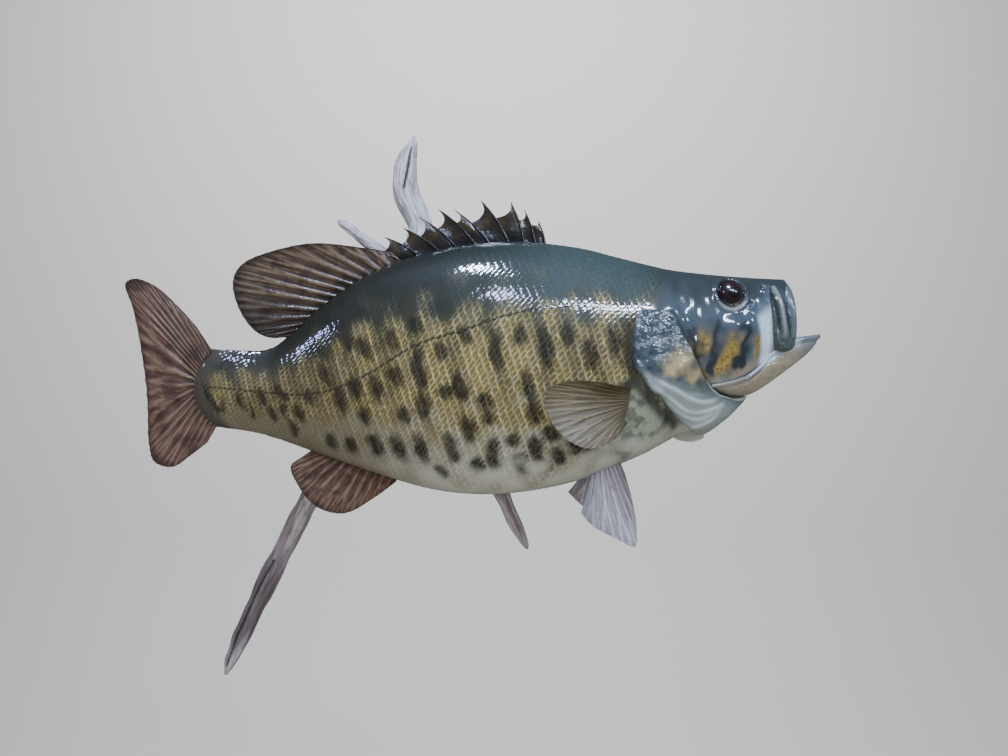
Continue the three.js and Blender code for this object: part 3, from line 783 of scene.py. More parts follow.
# %% [markdown]
# Taxidermists use ready-made glass eyes: clear glass with the iris painted behind it. A second ball of
# glass over the painted one would bend the light truly, but on a 20 mm eye that hardly shows. Here one
# ball carries rings of colour round its outward pole, and the finish's clear coat is the glass.

# %% Eyes
def eyeball(name, side):
    """A ball that looks a little forwards and up. `iris` is 0 in the middle of its pupil."""
    stacks, around = 40, 56
    tilt = np.linspace(0, math.pi, stacks + 1)[1:-1, None]
    turn = np.linspace(0, 2 * math.pi, around, endpoint=False)[None, :]
    r = EYE["radius"]
    centre = place(EYE["back"], side * EYE["out"], EYE["up"])
    facing = unit(np.array([0.10, -side * 0.985, 0.06]))
    across = unit(np.cross(facing, [0, 0, 1.0]))
    upward = np.cross(across, facing)
    swell = 1 + 0.03 * bell(tilt, 0.5)
    rings = centre + r * MM * (np.cos(tilt) * swell)[..., None] * facing \
        + (r * MM * np.sin(tilt) * np.cos(turn))[..., None] * across \
        + (r * MM * np.sin(tilt) * np.sin(turn))[..., None] * upward
    ball = skin_over(name, rings)
    at = coordinates(ball) - centre
    pull = np.linalg.norm(np.cross(at, facing), axis=1) / (r * MM)
    behind = (at @ facing) < 0
    mark(ball, iris=np.where(behind, 1.0, pull), turn=np.arctan2(at @ upward, at @ across) / math.pi)
    return ball


eyes = [eyeball("glass_eye_right", RIGHT), eyeball("glass_eye_left", LEFT)]
print("eyes:", EYE["radius"] * 2, "mm balls")

# %% [markdown]
# A soft fin is a thin web on bony rays. The rays start as single rods at the body, split in two part of
# the way out, and end in a fine fringe. A flat card with painted rays would be lighter, but rays catch the
# light one by one. The web and its rays are one closed sheet here: a grid between the fin's root and its
# edge, thicker wherever a ray runs, and a little shorter between the rays.

# %% Soft fins
def through(points, share):
    """The kind of smooth line that the solids use, through points, at shares 0..1 of their count."""
    p = np.array(points, float)
    q = np.concatenate([[2 * p[0] - p[1]], p, [2 * p[-1] - p[-2]]])
    at = np.clip(np.asarray(share, float), 0, 1) * (len(p) - 1)
    i = np.minimum(at.astype(int), len(p) - 2)
    t = (at - i)[:, None]
    a, b, c, d = q[i], q[i + 1], q[i + 2], q[i + 3]
    gaps = [np.maximum(np.linalg.norm(n - m, axis=1, keepdims=True) ** 0.5, 1e-6)
            for m, n in ((a, b), (b, c), (c, d))]
    leave = ((b - a) / gaps[0] - (c - a) / (gaps[0] + gaps[1]) + (c - b) / gaps[1]) * gaps[1]
    reach = ((c - b) / gaps[1] - (d - b) / (gaps[1] + gaps[2]) + (d - c) / gaps[2]) * gaps[1]
    return b + leave * t + (3 * (c - b) - 2 * leave - reach) * t ** 2 + (2 * (b - c) + leave + reach) * t ** 3


def on_both_faces(grid, shape):
    """A grid's values as sheet_mesh orders its points: both faces, then the two ends."""
    near = np.broadcast_to(grid, shape)
    return np.append(np.concatenate([near, near[:, ::-1]], 1).ravel(), [0, 0])


def soft_fin(name, root, edge, out, rays, web=(1.1, 0.45), ray=(1.9, 0.45), per_ray=9, rows=56, fray=0.5):
    """A web from root line to edge line. `web` and `ray` are thicknesses at the root and at the edge."""
    columns = rays * per_ray
    u = np.linspace(0, 1, columns + 1)
    v = np.linspace(0, 1, rows + 1)[None, :]
    low, high = through(root, u)[:, None, :], through(edge, u)[:, None, :]
    phase = u[:, None] * rays
    off = phase - np.round(phase)
    fork = 0.25 * step(0.35, 1, v)
    width = 0.15 - 0.07 * v
    ridge = np.clip(bell(off - fork, width) + bell(off + fork, width), 0, 1)
    length = np.linalg.norm(high - low, axis=2)
    luck = np.random.default_rng(len(name)).uniform(0, 1, rays + 1)
    uneven = np.interp(u * rays, np.arange(rays + 1), luck)
    short = fray * (0.5 * (1 - ridge[:, -1:]) + 0.8 * uneven[:, None]) / length
    reach = v * (1 - short)
    at = low + (high - low) * reach[..., None]
    thick = web[0] + (web[1] - web[0]) * v + (ray[0] + (ray[1] - ray[0]) * v) * ridge
    fin = sheet_mesh(name, at[..., 0], at[..., 1], out(u[:, None], v), thick)
    mark(fin, **{key: on_both_faces(grid, ridge.shape)
                 for key, grid in (("ray", ridge), ("along", v), ("across", u[:, None]))})
    return fin


fins = {
    "soft_dorsal_fin": soft_fin(
        "soft_dorsal_fin", [[257, 74], [285, 62], [310, 43], [330, 25]],
        [[262, 84], [285, 87], [317, 89], [345, 82.5], [362, 74], [367, 63], [363, 45], [352, 30],
         [342, 26], [334, 27]],
        lambda u, v: 1.5 * v * np.sin(3 * math.pi * u), 14),
    "anal_fin_web": soft_fin(
        "anal_fin_web", [[314, -46], [300, -51], [280, -58], [259, -65]],
        [[322, -51.5], [330, -58], [326, -70], [315, -85], [297, -91], [277, -81], [262, -70]],
        lambda u, v: 1.5 * v * np.sin(2 * math.pi * u), 13),
    "tail_fin_web": soft_fin(
        "tail_fin_web", [[379, 17], [386, 6], [387, -10], [376, -30]],
        [[388, 33], [398, 45.5], [412, 59], [423, 63], [428.5, 60], [425, 44], [420, 12], [417.5, -18],
         [416.5, -43], [413, -54], [402, -57.5], [391, -50], [381, -42]],
        lambda u, v: 2 * v * np.sin(2.5 * math.pi * u), 20, web=(1.8, 0.5), ray=(2.4, 0.5), per_ray=8),
}
PELVIC_EDGES = {
    "right": [[140, -87], [133, -95], [118, -103], [105.5, -108.4], [104.3, -98], [107, -79], [111.5, -62]],
    "left": [[145, -80], [137, -88], [124, -97], [112, -100], [109, -90], [110, -76], [112, -62]],
}
for word, side, spread in (("right", RIGHT, 20), ("left", LEFT, 15)):
    fins[f"pectoral_fin_web_{word}"] = soft_fin(
        f"pectoral_fin_web_{word}", [[109.5, -7], [111, -16], [114, -26]],
        [[119, -5], [140, -1.8], [160, -4.5], [165.8, -13], [162, -25], [150, -38.5], [137, -42.6],
         [123, -37], [115.5, -28]],
        lambda u, v: side * (31.5 + spread * v ** 0.8 + 2.5 * v * np.sin(math.pi * u)), 15, web=(1.4, 0.4),
        ray=(1.7, 0.4), per_ray=9)
    fins[f"pelvic_fin_web_{word}"] = soft_fin(
        f"pelvic_fin_web_{word}", [[131, -60], [122, -57], [114, -53]], PELVIC_EDGES[word],
        lambda u, v: side * (9 + 12 * v + 1.5 * v * np.sin(math.pi * u)), 7, web=(1.4, 0.45), ray=(2.1, 0.5),
        per_ray=14)
print("soft fins:", {name: len(f.data.polygons) for name, f in fins.items()})

# %% [markdown]
# The front dorsal fin is carried by ten stiff spines. The web climbs the back of each spine to its tip
# and joins the next one lower down, which leaves that spine's point bare. One sheet with thick places, as
# for the soft fins, would round those points off, so spines and webs are made one by one and then joined.

# %% Spiny dorsal fin
# Each spine's root, then its tip: back, and the tip's back and up.
SPINES = np.array([[162, 166.5, 105.5], [168.5, 176, 113], [176, 185, 118], [185, 205, 119],
                   [197, 223.5, 113], [206.5, 234, 113.3], [219, 247, 108], [230.5, 257.5, 100.5],
                   [243.5, 270, 94.3], [255, 282, 87]])
SPINE_ROOT, SPINE_BOW = 4, 0.05
WEB_TOP = curve([[0, 1], [0.13, 0.82], [0.5, 0.67], [0.92, 0.6], [1, 0.59]])


def join(name, parts):
    """Makes one object of several."""
    for part in parts:
        part.select_set(False)
    with bpy.context.temp_override(active_object=parts[0], selected_objects=parts,
                                   selected_editable_objects=parts, object=parts[0]):
        bpy.ops.object.join()
    parts[0].name = parts[0].data.name = name
    return parts[0]


def on_spine(foot, tip, share):
    """Places along a bowed spine, from [back, up] foot to tip."""
    leg = tip - foot
    bulge = 4 * share * (1 - share) * SPINE_BOW
    return (foot[..., 0] + leg[..., 0] * share - bulge * leg[..., 1],
            foot[..., 1] + leg[..., 1] * share + bulge * leg[..., 0])


def spine_between(name, foot, tip, stops=22, corners=12):
    """A tapered, slightly flattened spine."""
    share = np.linspace(0, 1, stops)[:, None]
    turn = np.linspace(0, 2 * math.pi, corners, endpoint=False)[None, :]
    at_back, at_up = on_spine(foot, tip, share)
    radius = 1.35 * (1 - share) ** 0.75 + 0.12
    across = np.array([tip[1] - foot[1], foot[0] - tip[0]]) / np.linalg.norm(tip - foot)
    spine = skin_over(name, place(at_back + radius * 0.85 * np.cos(turn) * across[0], radius * np.sin(turn),
                                  at_up + radius * 0.85 * np.cos(turn) * across[1]))
    mark(spine, spine=1.0, along=np.append(np.repeat(share, corners), [0, 1]))
    return spine


def web_between(name, k, feet, tips):
    """The web from spine k to the next. It billows to one side and the other by turns."""
    u, v = np.linspace(0, 1, 15)[:, None], np.linspace(0, 1, 19)[None, :]
    foot = feet[k] * (1 - u) + feet[k + 1] * u
    tip = tips[k] * (1 - u) + tips[k + 1] * u
    share = WEB_TOP(u) * v
    at_back, at_up = on_spine(foot[:, None, :], tip[:, None, :], share)
    billow = 0.7 * np.sin(math.pi * u) * v * (-1) ** k + 0.25 * np.sin(9 * v + 2 * k) * np.sin(math.pi * u)
    web = sheet_mesh(name, at_back, at_up, billow, 0.9 - 0.4 * v + 0 * u)
    mark(web, spine=0.0, along=on_both_faces(v, share.shape))
    return web


feet = np.stack([SPINES[:, 0], BODY.top(SPINES[:, 0]) - SPINE_ROOT], 1)
tips = SPINES[:, 1:]
parts = [spine_between(f"spine {k}", foot, tip) for k, (foot, tip) in enumerate(zip(feet, tips))]
parts += [web_between(f"web {k}", k, feet, tips) for k in range(len(SPINES) - 1)]
fins["spiny_dorsal_fin"] = join("spiny_dorsal_fin", parts)
print("spiny dorsal fin:", len(fins["spiny_dorsal_fin"].data.polygons), "faces")

# %% [markdown]
# Scales grow in rows that run side by side with the lateral line. Each overlaps the next like a roof
# tile, so all that shows is a diamond, here about 4.5 mm along the fish and 6.9 mm high on the flank, and
# smaller towards the tail. A bump pattern could draw them, but their dried free edges really stand out.
# Geometry Nodes lay one modelled scale on every place of that lattice, turned to lie along the skin. The
# tree is made once, and lays the pores of the lateral line too.

# %% Where the scales grow
PITCH = curve([[60, 4.1], [190, 4.5], [265, 3.9], [350, 3.3], [389, 3.0]])
ROW = curve([[60, 3.2], [190, 3.45], [265, 3.2], [350, 2.6], [389, 2.4]])
LEAN = 0.27
LATERAL_LINE = curve([[86, 44.5], [104, 45.9], [129, 45.9], [152, 45.3], [175, 42.1], [198, 36.2],
                      [215, 29.9], [236, 23.9], [250.5, 17.6], [262, 10.3], [276, 2.5], [293, -5.4],
                      [308, -9.4], [324, -10.7], [349, -8.8], [372.5, -6.3], [389, -6]])

walk = np.arange(60, TAIL_END + 1.0)
column_of = np.concatenate([[0], np.cumsum(1 / PITCH(walk[:-1]))])
line_down = FLANK.down_at(walk, LATERAL_LINE(walk))


def scale_places():
    """Back and down of every scale on one side, with its row number."""
    row, column = np.meshgrid(np.arange(-40, 62), np.arange(-20, column_of[-1] + 30), indexing="ij")
    column = column + 0.5 * (row % 2) + LEAN * row
    s = np.interp(column, column_of, walk, left=-1, right=999)
    down = np.interp(s, walk, line_down) + row * ROW(s)
    inside = (s > 60) & (s < TAIL_END - 1.5) & (down > 0.8) & (down < FLANK.span(s) - 0.8)
    s, down, row = s[inside], down[inside], row[inside]
    _, _, up = FLANK.at(s, down)
    kept = (s > SCALES_START(up)) & (beyond_flesh(s, up) < -1)
    return s[kept], down[kept], row[kept]


scale_back, scale_down, scale_row = scale_places()
print("scales on each side:", len(scale_back), "in", len(np.unique(scale_row)), "rows")


# %% One scale, and one pore of the lateral line
def one_scale():
    """Twenty-eight points: a thin tile, domed, with a pointed arch for its free edge. x runs tailwards."""
    b = np.array([-1.16, -0.85, -0.45, 0, 0.45, 0.85, 1.16])[:, None]
    edge = 0.62 - 0.5 * np.abs(b) ** 1.15
    a = np.concatenate([np.full_like(b, -0.8), edge - 0.44, edge - 0.17, edge], 1)
    height = -0.06 + 0.36 * (a + 0.8) / 1.42 + 0.06 * (1 - (b / 1.16) ** 2)
    height[:, 3] -= 0.05
    points = np.stack([a, np.broadcast_to(b, a.shape), height], -1).reshape(-1, 3)
    faces = [[k, k + 4, k + 5, k + 1] for i in range(6) for k in range(i * 4, i * 4 + 3)]
    rim = [i * 4 for i in range(7)] + [25, 26] + [i * 4 + 3 for i in range(6, -1, -1)] + [2, 1]
    piece = new_piece("one scale", points, faces + [rim[::-1]], sharp=math.radians(35))
    margin = np.tile([0, 0, 0.65, 1.0], 7)
    mark(piece, margin=margin, scale_along=points[:, 0], scale_across=points[:, 1], scale_height=points[:, 2],
         growth=np.hypot(points[:, 0] + 0.8, 0.6 * points[:, 1]))
    return piece


def one_pore():
    """A short bead that stands up a little at its tailward end."""
    x = np.linspace(-0.5, 0.45, 6)[:, None]
    turn = np.linspace(0, 2 * math.pi, 6, endpoint=False)[None, :]
    width = 0.085 * np.sqrt(np.clip(1 - ((x + 0.03) / 0.5) ** 2, 0.05, 1))
    across, height = width * np.cos(turn) + 0.05 * x, 0.1 + 0.12 * np.sin(turn) + 0.3 * x
    return skin_over("one pore", np.stack([np.broadcast_to(x, (6, 6)), across, height], -1))


template, pore = one_scale(), one_pore()
print("one scale:", len(template.data.vertices), "points, one pore:", len(pore.data.vertices))


# %% The tree that lays pieces along the skin
def laying_tree():
    tree = bpy.data.node_groups.new("lay pieces along the skin", "GeometryNodeTree")
    for name, kind in (("Places", "Geometry"), ("Piece", "Object"), ("Thickness", "Float"), ("Sink", "Float"),
                       ("Unevenness", "Float"), ("Seed", "Int"), ("Finish", "Material")):
        tree.interface.new_socket(name, in_out="INPUT", socket_type="NodeSocket" + kind)
    tree.interface.new_socket("Pieces", in_out="OUTPUT", socket_type="NodeSocketGeometry")
    given = add(tree, "NodeGroupInput").outputs

    outward, lie, size = (add(tree, "GeometryNodeInputNamedAttribute", {"data_type": "FLOAT_VECTOR"},
                              Name=name).outputs["Attribute"] for name in ("outward", "lie", "size"))
    inwards = add(tree, "ShaderNodeMath", {"operation": "MULTIPLY"}, i0=given["Sink"], i1=-1.0).outputs[0]
    sunk = add(tree, "ShaderNodeVectorMath", {"operation": "SCALE"}, Vector=outward, Scale=inwards)
    placed = add(tree, "GeometryNodeSetPosition", Geometry=given["Places"], Offset=sunk.outputs[0])
    turned = add(tree, "FunctionNodeAxesToRotation", {"primary_axis": "Z", "secondary_axis": "X"},
                 Primary_Axis=outward, Secondary_Axis=lie)
    least = add(tree, "ShaderNodeMath", {"operation": "SUBTRACT"}, i0=1.0, i1=given["Unevenness"])
    most = add(tree, "ShaderNodeMath", {"operation": "ADD"}, i0=1.0, i1=given["Unevenness"])
    chance = add(tree, "FunctionNodeRandomValue", {"data_type": "FLOAT"})
    for socket, value in (("Min", least.outputs[0]), ("Max", most.outputs[0]), ("Seed", given["Seed"])):
        wanted = [s for s in chance.inputs if s.name == socket and s.enabled][0]
        tree.links.new(value, wanted)
    factor = [s for s in chance.outputs if s.enabled][0]
    shape = add(tree, "ShaderNodeCombineXYZ", X=1.0, Y=1.0, Z=given["Thickness"])
    full = add(tree, "ShaderNodeVectorMath", {"operation": "MULTIPLY"}, i0=size, i1=shape.outputs[0])
    varied = add(tree, "ShaderNodeVectorMath", {"operation": "SCALE"}, Vector=full.outputs[0], Scale=factor)
    piece = add(tree, "GeometryNodeObjectInfo", Object=given["Piece"])
    laid = add(tree, "GeometryNodeInstanceOnPoints", Points=placed.outputs[0],
               Instance=piece.outputs["Geometry"], Rotation=turned.outputs[0], Scale=varied.outputs[0])
    real = add(tree, "GeometryNodeRealizeInstances", Geometry=laid.outputs[0])
    finished = add(tree, "GeometryNodeSetMaterial", Geometry=real.outputs[0], Material=given["Finish"])
    tree.links.new(finished.outputs[0], add(tree, "NodeGroupOutput").inputs["Pieces"])
    return tree


LAYING = laying_tree()


def lay(name, back, down, side, size, template, kept, **inputs):
    """Lays the template at places over the flank and returns one plain mesh."""
    here, outward, tail = FLANK.axes(back, down, side)
    places = new_piece(name, here, [], sharp=None)
    for key, vectors in (("outward", outward), ("lie", tail), ("size", size)):
        places.data.attributes.new(key, "FLOAT_VECTOR", "POINT").data.foreach_set(
            "vector", np.asarray(vectors, np.float32).ravel())
    mark(places, root_back=back, root_down=down, **kept)
    layer = places.modifiers.new("lay", "NODES")
    layer.node_group = LAYING
    sockets = {s.name: s.identifier for s in LAYING.interface.items_tree if s.in_out == "INPUT"}
    for key, value in {"Piece": template, **inputs}.items():
        layer[sockets[key]] = value
    bake(places)
    return places


def settle(coat, side):
    """Bends each flat tile over the fish. Its rows lean, so the tile is sheared the same way first."""
    root, down, chance = read(coat, "root_back"), read(coat, "root_down"), read(coat, "chance")
    along, across = read(coat, "scale_along"), side * read(coat, "scale_across")
    slid, rolled = chance * 91 % 1 - 0.5, chance * 57 % 1 - 0.5
    chance = chance - 0.5
    back = root + (along + LEAN * across + 0.22 * chance) * PITCH(root)
    over = down + (across + 0.2 * slid) * ROW(root) + np.interp(back, walk, line_down)
    here, outward, _ = FLANK.axes(back, over - np.interp(root, walk, line_down), side)
    _, _, up = FLANK.at(root, down)
    raised = 0.07 * chance + step(325, 350, root) * (0.22 + 0.1 * chance)
    sunk = 0.35 * step(7, 0, root - SCALES_START(up)) + 0.4 * step(-6, -1, beyond_flesh(root, up))
    height = read(coat, "scale_height") + raised * along + 0.05 * rolled * across - sunk - COAT
    move(coat, here + outward * (height * MM)[:, None])


print("the tree:", len(LAYING.nodes), "nodes")


# %% [markdown]
# The markings of a smallmouth run over skin and scales alike. An image wrapped round the fish would have
# to be stretched to fit each piece, so they are worked out from where a point is on the fish instead, and
# stored on the points of every piece: how high it is on the flank, how dark a blotch makes it, and where
# the cheek is golden.

# %% Markings
BLOTCHES = np.array([
    [120, 21, 19], [126, -20, 9], [134, -47, 9], [136, 14, 19], [145, -43, 11], [151, 27, 14],
    [155, -50, 9], [159, -36, 9], [162, 13, 16], [164, -57, 9], [165, 24, 17], [169, -45, 17],
    [172, -20, 16], [175, -4, 16], [178, -54, 12], [180, 27, 14], [184, -39, 8], [194, 16, 23],
    [195, -54, 14], [197, -42, 12], [200, -25, 9], [201, -14, 9], [206, -56, 11], [212, -33, 16],
    [214, 27, 9], [217, -6, 17], [223, -45, 19], [226, -9, 9], [230, 17, 11], [230, -61, 8],
    [240, -19, 17], [243, -44, 17], [243, 2, 17], [245, 13, 14], [245, 33, 11], [253, -23, 9],
    [257, -45, 16], [258, 2, 14], [260, 24, 13], [271, -44, 17], [271, -6, 16], [278, -24, 11],
    [278, 19, 13], [285, -6, 14], [287, -44, 11], [288, 21, 10], [294, -14, 18], [301, -41, 10],
    [304, 2, 13], [316, -11, 10], [322, -22, 10], [326, -33, 10], [331, -21, 9], [333, -9, 7],
    [340, -22, 9], [346, -12, 9], [353, -21, 9], [361, -13, 9], [371, -18, 9]])
BARS = [112, 133, 148, 167, 195, 223, 246, 267, 290, 303, 316, 329, 342, 355, 368]
CHEEK_GOLD = [[62.9, 22, 7.5, 9], [43, 19.5, 6.5, 9], [48, 12, 6, 7], [51.5, 6, 6.5, 6], [26.5, 22, 2.8, 9]]
COVER_GOLD = [[77, 11, 9.5, 9.5], [69, 0, 7, 5.5], [86, 6, 7, 6]]
HEAD_BARS = [[[54, 33], [55.5, 20], [57.6, 5]], [[34, 32], [35.6, 22], [37, 13], [40, 9]],
             [[71, 30], [66, 14]]]
SLIT = [[104, 40], [110, 34], [111.5, 22], [111, 8], [106, -2], [99, -12], [89, -22], [80, -30]]
HEAD_BLOTCHES = [[39, 9.5, 4.6, 3.8], [65.5, -2, 4.6, 5.5], [58, 3, 3.4, 5]]


def patches(back, up, table):
    """1 in the middle of any of the table's soft ovals: back, up, half width, half height."""
    ovals = (bell(np.hypot((back - s) / wide, (up - z) / high), 0.8) for s, z, wide, high in table)
    return np.clip(sum(ovals), 0, 1)


def markings(points):
    """Every named value, 0..1, that the finishes read, from where the points are on the fish."""
    back, _, up = fish_coordinates(points)
    low, high = BODY.bottom(back), BODY.top(back)
    height = (up - low) / np.maximum(high - low, 1)
    wander = ripple(points, 0.011, 3) * 1.1
    blotch = np.zeros(len(points))
    for s, z, tall in BLOTCHES:
        lean = (0.14 + 0.14 * step(180, 280, s)) * (up - z)
        size = step(380, 250, s) + 0.55
        reach = np.hypot((back - s - lean + wander) / (3.1 * size), (up - z + wander) / (tall * 0.5 + 0.8))
        blotch += step(1.5, 0.55, reach)
    bars = np.clip(sum(bell(back - s - 0.2 * (up - 22) + wander, 5.0) for s in BARS), 0, 1)
    fingers = height + 0.10 * (bars - 0.45) * step(0.3, 0.5, height) + 0.05 * ripple(points, 0.02, 8)
    behind_head = step(92, 104, back)
    wavy = back + 1.5 * ripple(points, 0.009, 51), up + 1.8 * ripple(points, 0.008, 52)
    head_bar = sum(bell(along_line(*wavy, line)[0], 3.2) for line in HEAD_BARS)
    head_bar = head_bar + patches(*wavy, HEAD_BLOTCHES)
    return {"height": np.clip(fingers, 0, 1),
            "blotch": np.clip(blotch, 0, 1) * behind_head,
            "bars": bars * behind_head,
            "gold": patches(*wavy, CHEEK_GOLD + COVER_GOLD) * (1 - behind_head),
            "head_bar": np.clip(head_bar, 0, 1) * (1 - behind_head),
            "head": 1 - step(86, 100, back + 0.15 * (up - 40)),
            "tail_end": step(-10, -2, beyond_flesh(back, up)),
            "breast": step(128, 108, back) * step(4, -8, up),
            "rear": step(195, 330, back),
            "aft": step(150, 250, back),
            "fore": step(200, 130, back) * step(78, 118, back)}


def painted_shade_behind_cover(back, up):
    """Painted shade of the gill slit, darkest just behind the cover's rear edge."""
    return 1.2 * bell(along_line(back, up, SLIT)[0], 4.5)


mark(skin, **markings(coordinates(skin)))
back, _, up = fish_coordinates(coordinates(skin))
strip = step(15, 19, back) * step(25.5, 21.5, back - 0.008 * (up - 18) ** 2)
mark(skin,
     # The gill slit just behind the cover is darkened here as painted shade.
     slit=np.clip(painted_shade_behind_cover(back, up), 0, 1),
     throat=step(4, -12, up - 0.15 * (back - 60)) * step(125, 100, back),
     white=strip * step(2, 12, up) * step(47, 38, up + 0.6 * (back - 22)),
     orbit=bell(np.hypot(back - EYE["back"], up - EYE["up"]) - 9.6, 1.0) * step(52, 45, up),
     # A dark line along the crease before the gill cover: painted shade in the groove.
     crease=bell(along_line(back, up, CREASE)[0], 0.8),
     snout=step(34, 20, back),
     gold_scales=patches(back, up, CHEEK_GOLD))
WEB_HEIGHT = curve([[-12, 40], [-5, 22], [-1, 18.6], [8, 14.6], [16.5, 10.3], [21, 7.7], [28, 3.2], [34, 0.5],
                    [40, -1]])
mark(jaw, **markings(coordinates(jaw)))
back, out, up = fish_coordinates(coordinates(jaw))
below_rim = JAW.top(back) - up
mark(jaw,
     web=step(-0.5, 1.0, up - WEB_HEIGHT(back)) * step(-6, 0, back) * step(54, 30, back),
     hinge=step(30, 55, back + 0.4 * (up + 8)),
     chin=step(4, -14, back),
     rim=step(7, 1, below_rim),
     under=step(10, 24, below_rim + np.maximum(0, 12 - np.abs(out))))
for piece in covers + side_bones + [lip_bone, membrane]:
    mark(piece, **markings(coordinates(piece)))
print("blotches:", len(BLOTCHES), "on each flank")

# %% [markdown]
# A mounted fish is painted with thin airbrushed coats over the dried skin, then sealed with two-part gloss
# varnish. That gives the eye soft-edged colour under a hard wet shine, so every skin finish here has a
# rough coloured base and a clear coat.

# %% Varnished skin, head and trunk
ROOT = "root"


def stand_in(piece, *solids):
    """The piece belongs to the one body, and is shown in place of the solids."""
    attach(piece, ROOT)
    if solids:
        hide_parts(*solids)


def skin_finish(name, back_colour, flank_colour, belly_colour):
    """Belly, flank and back run into each other; the back is paler in front and nearly black behind."""
    material, tree, shader = finish_named(name, VARNISH)
    mottle = amount(tree, (speckle(tree, 2.4, 4), 0.35, 0.7))
    paint = layered(
        tree, belly_colour,
        ("#625b48", "rear", 0.85),
        (flank_colour, ("height", 0.10, 0.34)),
        (back_colour, ("height", 0.56, 0.84)),
        ("#3d4e51", "fore", ("height", 0.6, 0.84, 0.0, 0.6)),
        ("#1c2c2e", mottle, ("height", 0.6, 0.84, 0.0, 0.5)),
        ("#070d0a", "aft", ("height", 0.6, 0.84, 0.0, 0.85)))
    return material, tree, shader, paint, mottle


# Dried skin under varnish: soft colour from below, sharp small highlights from the coat above it.
dressed_skin, tree, shader, paint, mottle = skin_finish(
    "airbrushed and varnished bass skin", "#273233", "#6a6440", "#a3a892")
head_paint = layered(
    tree, "#38454f",
    ("#4f6070", "snout", 0.8),
    ("#6f675a", ("height", 0.42, 0.26)),
    ("#252e31", ("height", 0.66, 0.86)),
    ("#85733a", "gold"),
    ("#57481f", "gold_scales", mottle),
    ("#171e22", "head_bar", 0.92),
    ("#8d9794", "throat"),
    ("#a9b9c2", "white"),
    ("#c3c1b0", "orbit", 0.5),
    ("#20282a", (speckle(tree, 0.9, 2), 0.52, 0.62), 0.25))
paint = layered(
    tree, paint,
    ("#2b2a1c", "blotch", 0.85),
    (head_paint, "head"),
    # Painted shade in the gill slit behind the cover.
    ("#1d1510", "slit"),
    # Painted shade along the crease before the gill cover.
    ("#2a1d16", "crease", 0.7),
    ("#322f29", "tail_end", 0.95))
tree.links.new(paint, shader.inputs["Base Color"])
raise_by(tree, shader, speckle(tree, 6.5, 1.0, 0.5), 0.5, 0.2, PAINT_AND_VARNISH)
skin.data.materials[0] = dressed_skin
for piece, solids in ((skin, ("head", "trunk", "tail_stock")), (jaw, ("lower_jaw",))):
    stand_in(piece, *solids)
print("materials on the skin:", [material.name for material in skin.data.materials])

# %% [markdown]
# Jaw, gill covers and lips are bone under thin hardened skin. They could share the skin's finish, but bone
# takes the paint differently: its colours follow ridges, grooves and folds more than height on the flank,
# and on the side bones and gill covers light and shade are painted along them: pale on ridges and fold
# crests, dark in grooves and between folds.
# So each has coats of its own, which read the values that were stored with its shape.

# %% Jaw, gill covers and lips
# The jaw's dried skin is drab and matt-looking between wet highlights.
jaw_paint, tree, shader = finish_named("airbrushed and varnished jaw skin", VARNISH)
paint = layered(
    tree, "#857d69",
    ("#979482", "under"),
    ("#67624f", (speckle(tree, 3.0, 3), 0.4, 0.7), 0.5),
    ("#3a4243", "rim", 0.85),
    ("#93a3ad", "web"),
    ("#848377", "hinge", 0.8),
    ("#66717c", "chin", 0.7))
tree.links.new(paint, shader.inputs["Base Color"])
raise_by(tree, shader, speckle(tree, 2.1, 3), 0.25, 0.5, PAINT_AND_VARNISH)
jaw.data.materials[0] = jaw_paint

# Bone under thin pearly paint. The varnish is as smooth as glass but lies in small waves, so that it
# glitters in many points.
cover_paint, tree, shader = finish_named("airbrushed pearl gill cover under varnish",
                                         {**VARNISH, "Coat Roughness": 0.04})
paint = layered(
    tree, "#28343c",
    ("#1f2a30", ("up", 22, 38)),
    ("#5d6b76", (speckle(tree, 4, 4, 0.6), 0.4, 0.66), 0.3),
    ("#46545f", (speckle(tree, 1.3, 3, 0.7), 0.55, 0.66), 0.4),
    ("#968a62", "gold", 0.95),
    ("#8c9896", "low"),
    ("#2b3438", "head_bar", 0.85),
    ("#8a7f70", ("up", -24, -36), 0.5),
    # Painted light on the folds: the pale crests are a painted highlight, the darker troughs between them
    # painted shade.
    ("#56635f", ("up", -2, -8), ("fold", 0.5, 0.05, 0.0, 0.4)),
    ("#b3bebb", "fold", 0.42),
    ("#4b4f48", ("depth", 0.9, 0.0), 0.55))
tree.links.new(paint, shader.inputs["Base Color"])
raise_by(tree, shader, speckle(tree, 3.4, 2, 0.5), 1.3, 0.9, ("Coat Normal",))

# Lip bones are dark and streaked lengthwise. A pale line along one ridge is a painted highlight, and a dark
# line beside it painted shade.
lip_paint, tree, shader = finish_named("airbrushed dark lip bone under varnish", VARNISH)
paint = layered(
    tree, "#2c3733",
    ("#5f6862", (speckle(tree, 1.6, 4), 0.35, 0.7), 0.5),
    ("#4b555d", ("back", 6, -2), 0.8),
    # Painted shade in the groove beside the side bones' ridge, then a painted highlight along the ridge.
    ("#12171a", "groove", 0.85),
    ("#7f8a90", "ridge", 0.7))
tree.links.new(paint, shader.inputs["Base Color"])
raise_by(tree, shader, speckle(tree, 1.6, 3), 0.3, 0.6, PAINT_AND_VARNISH)
mark(lip_bone, back=0.0, ridge=0.0, groove=0.0)
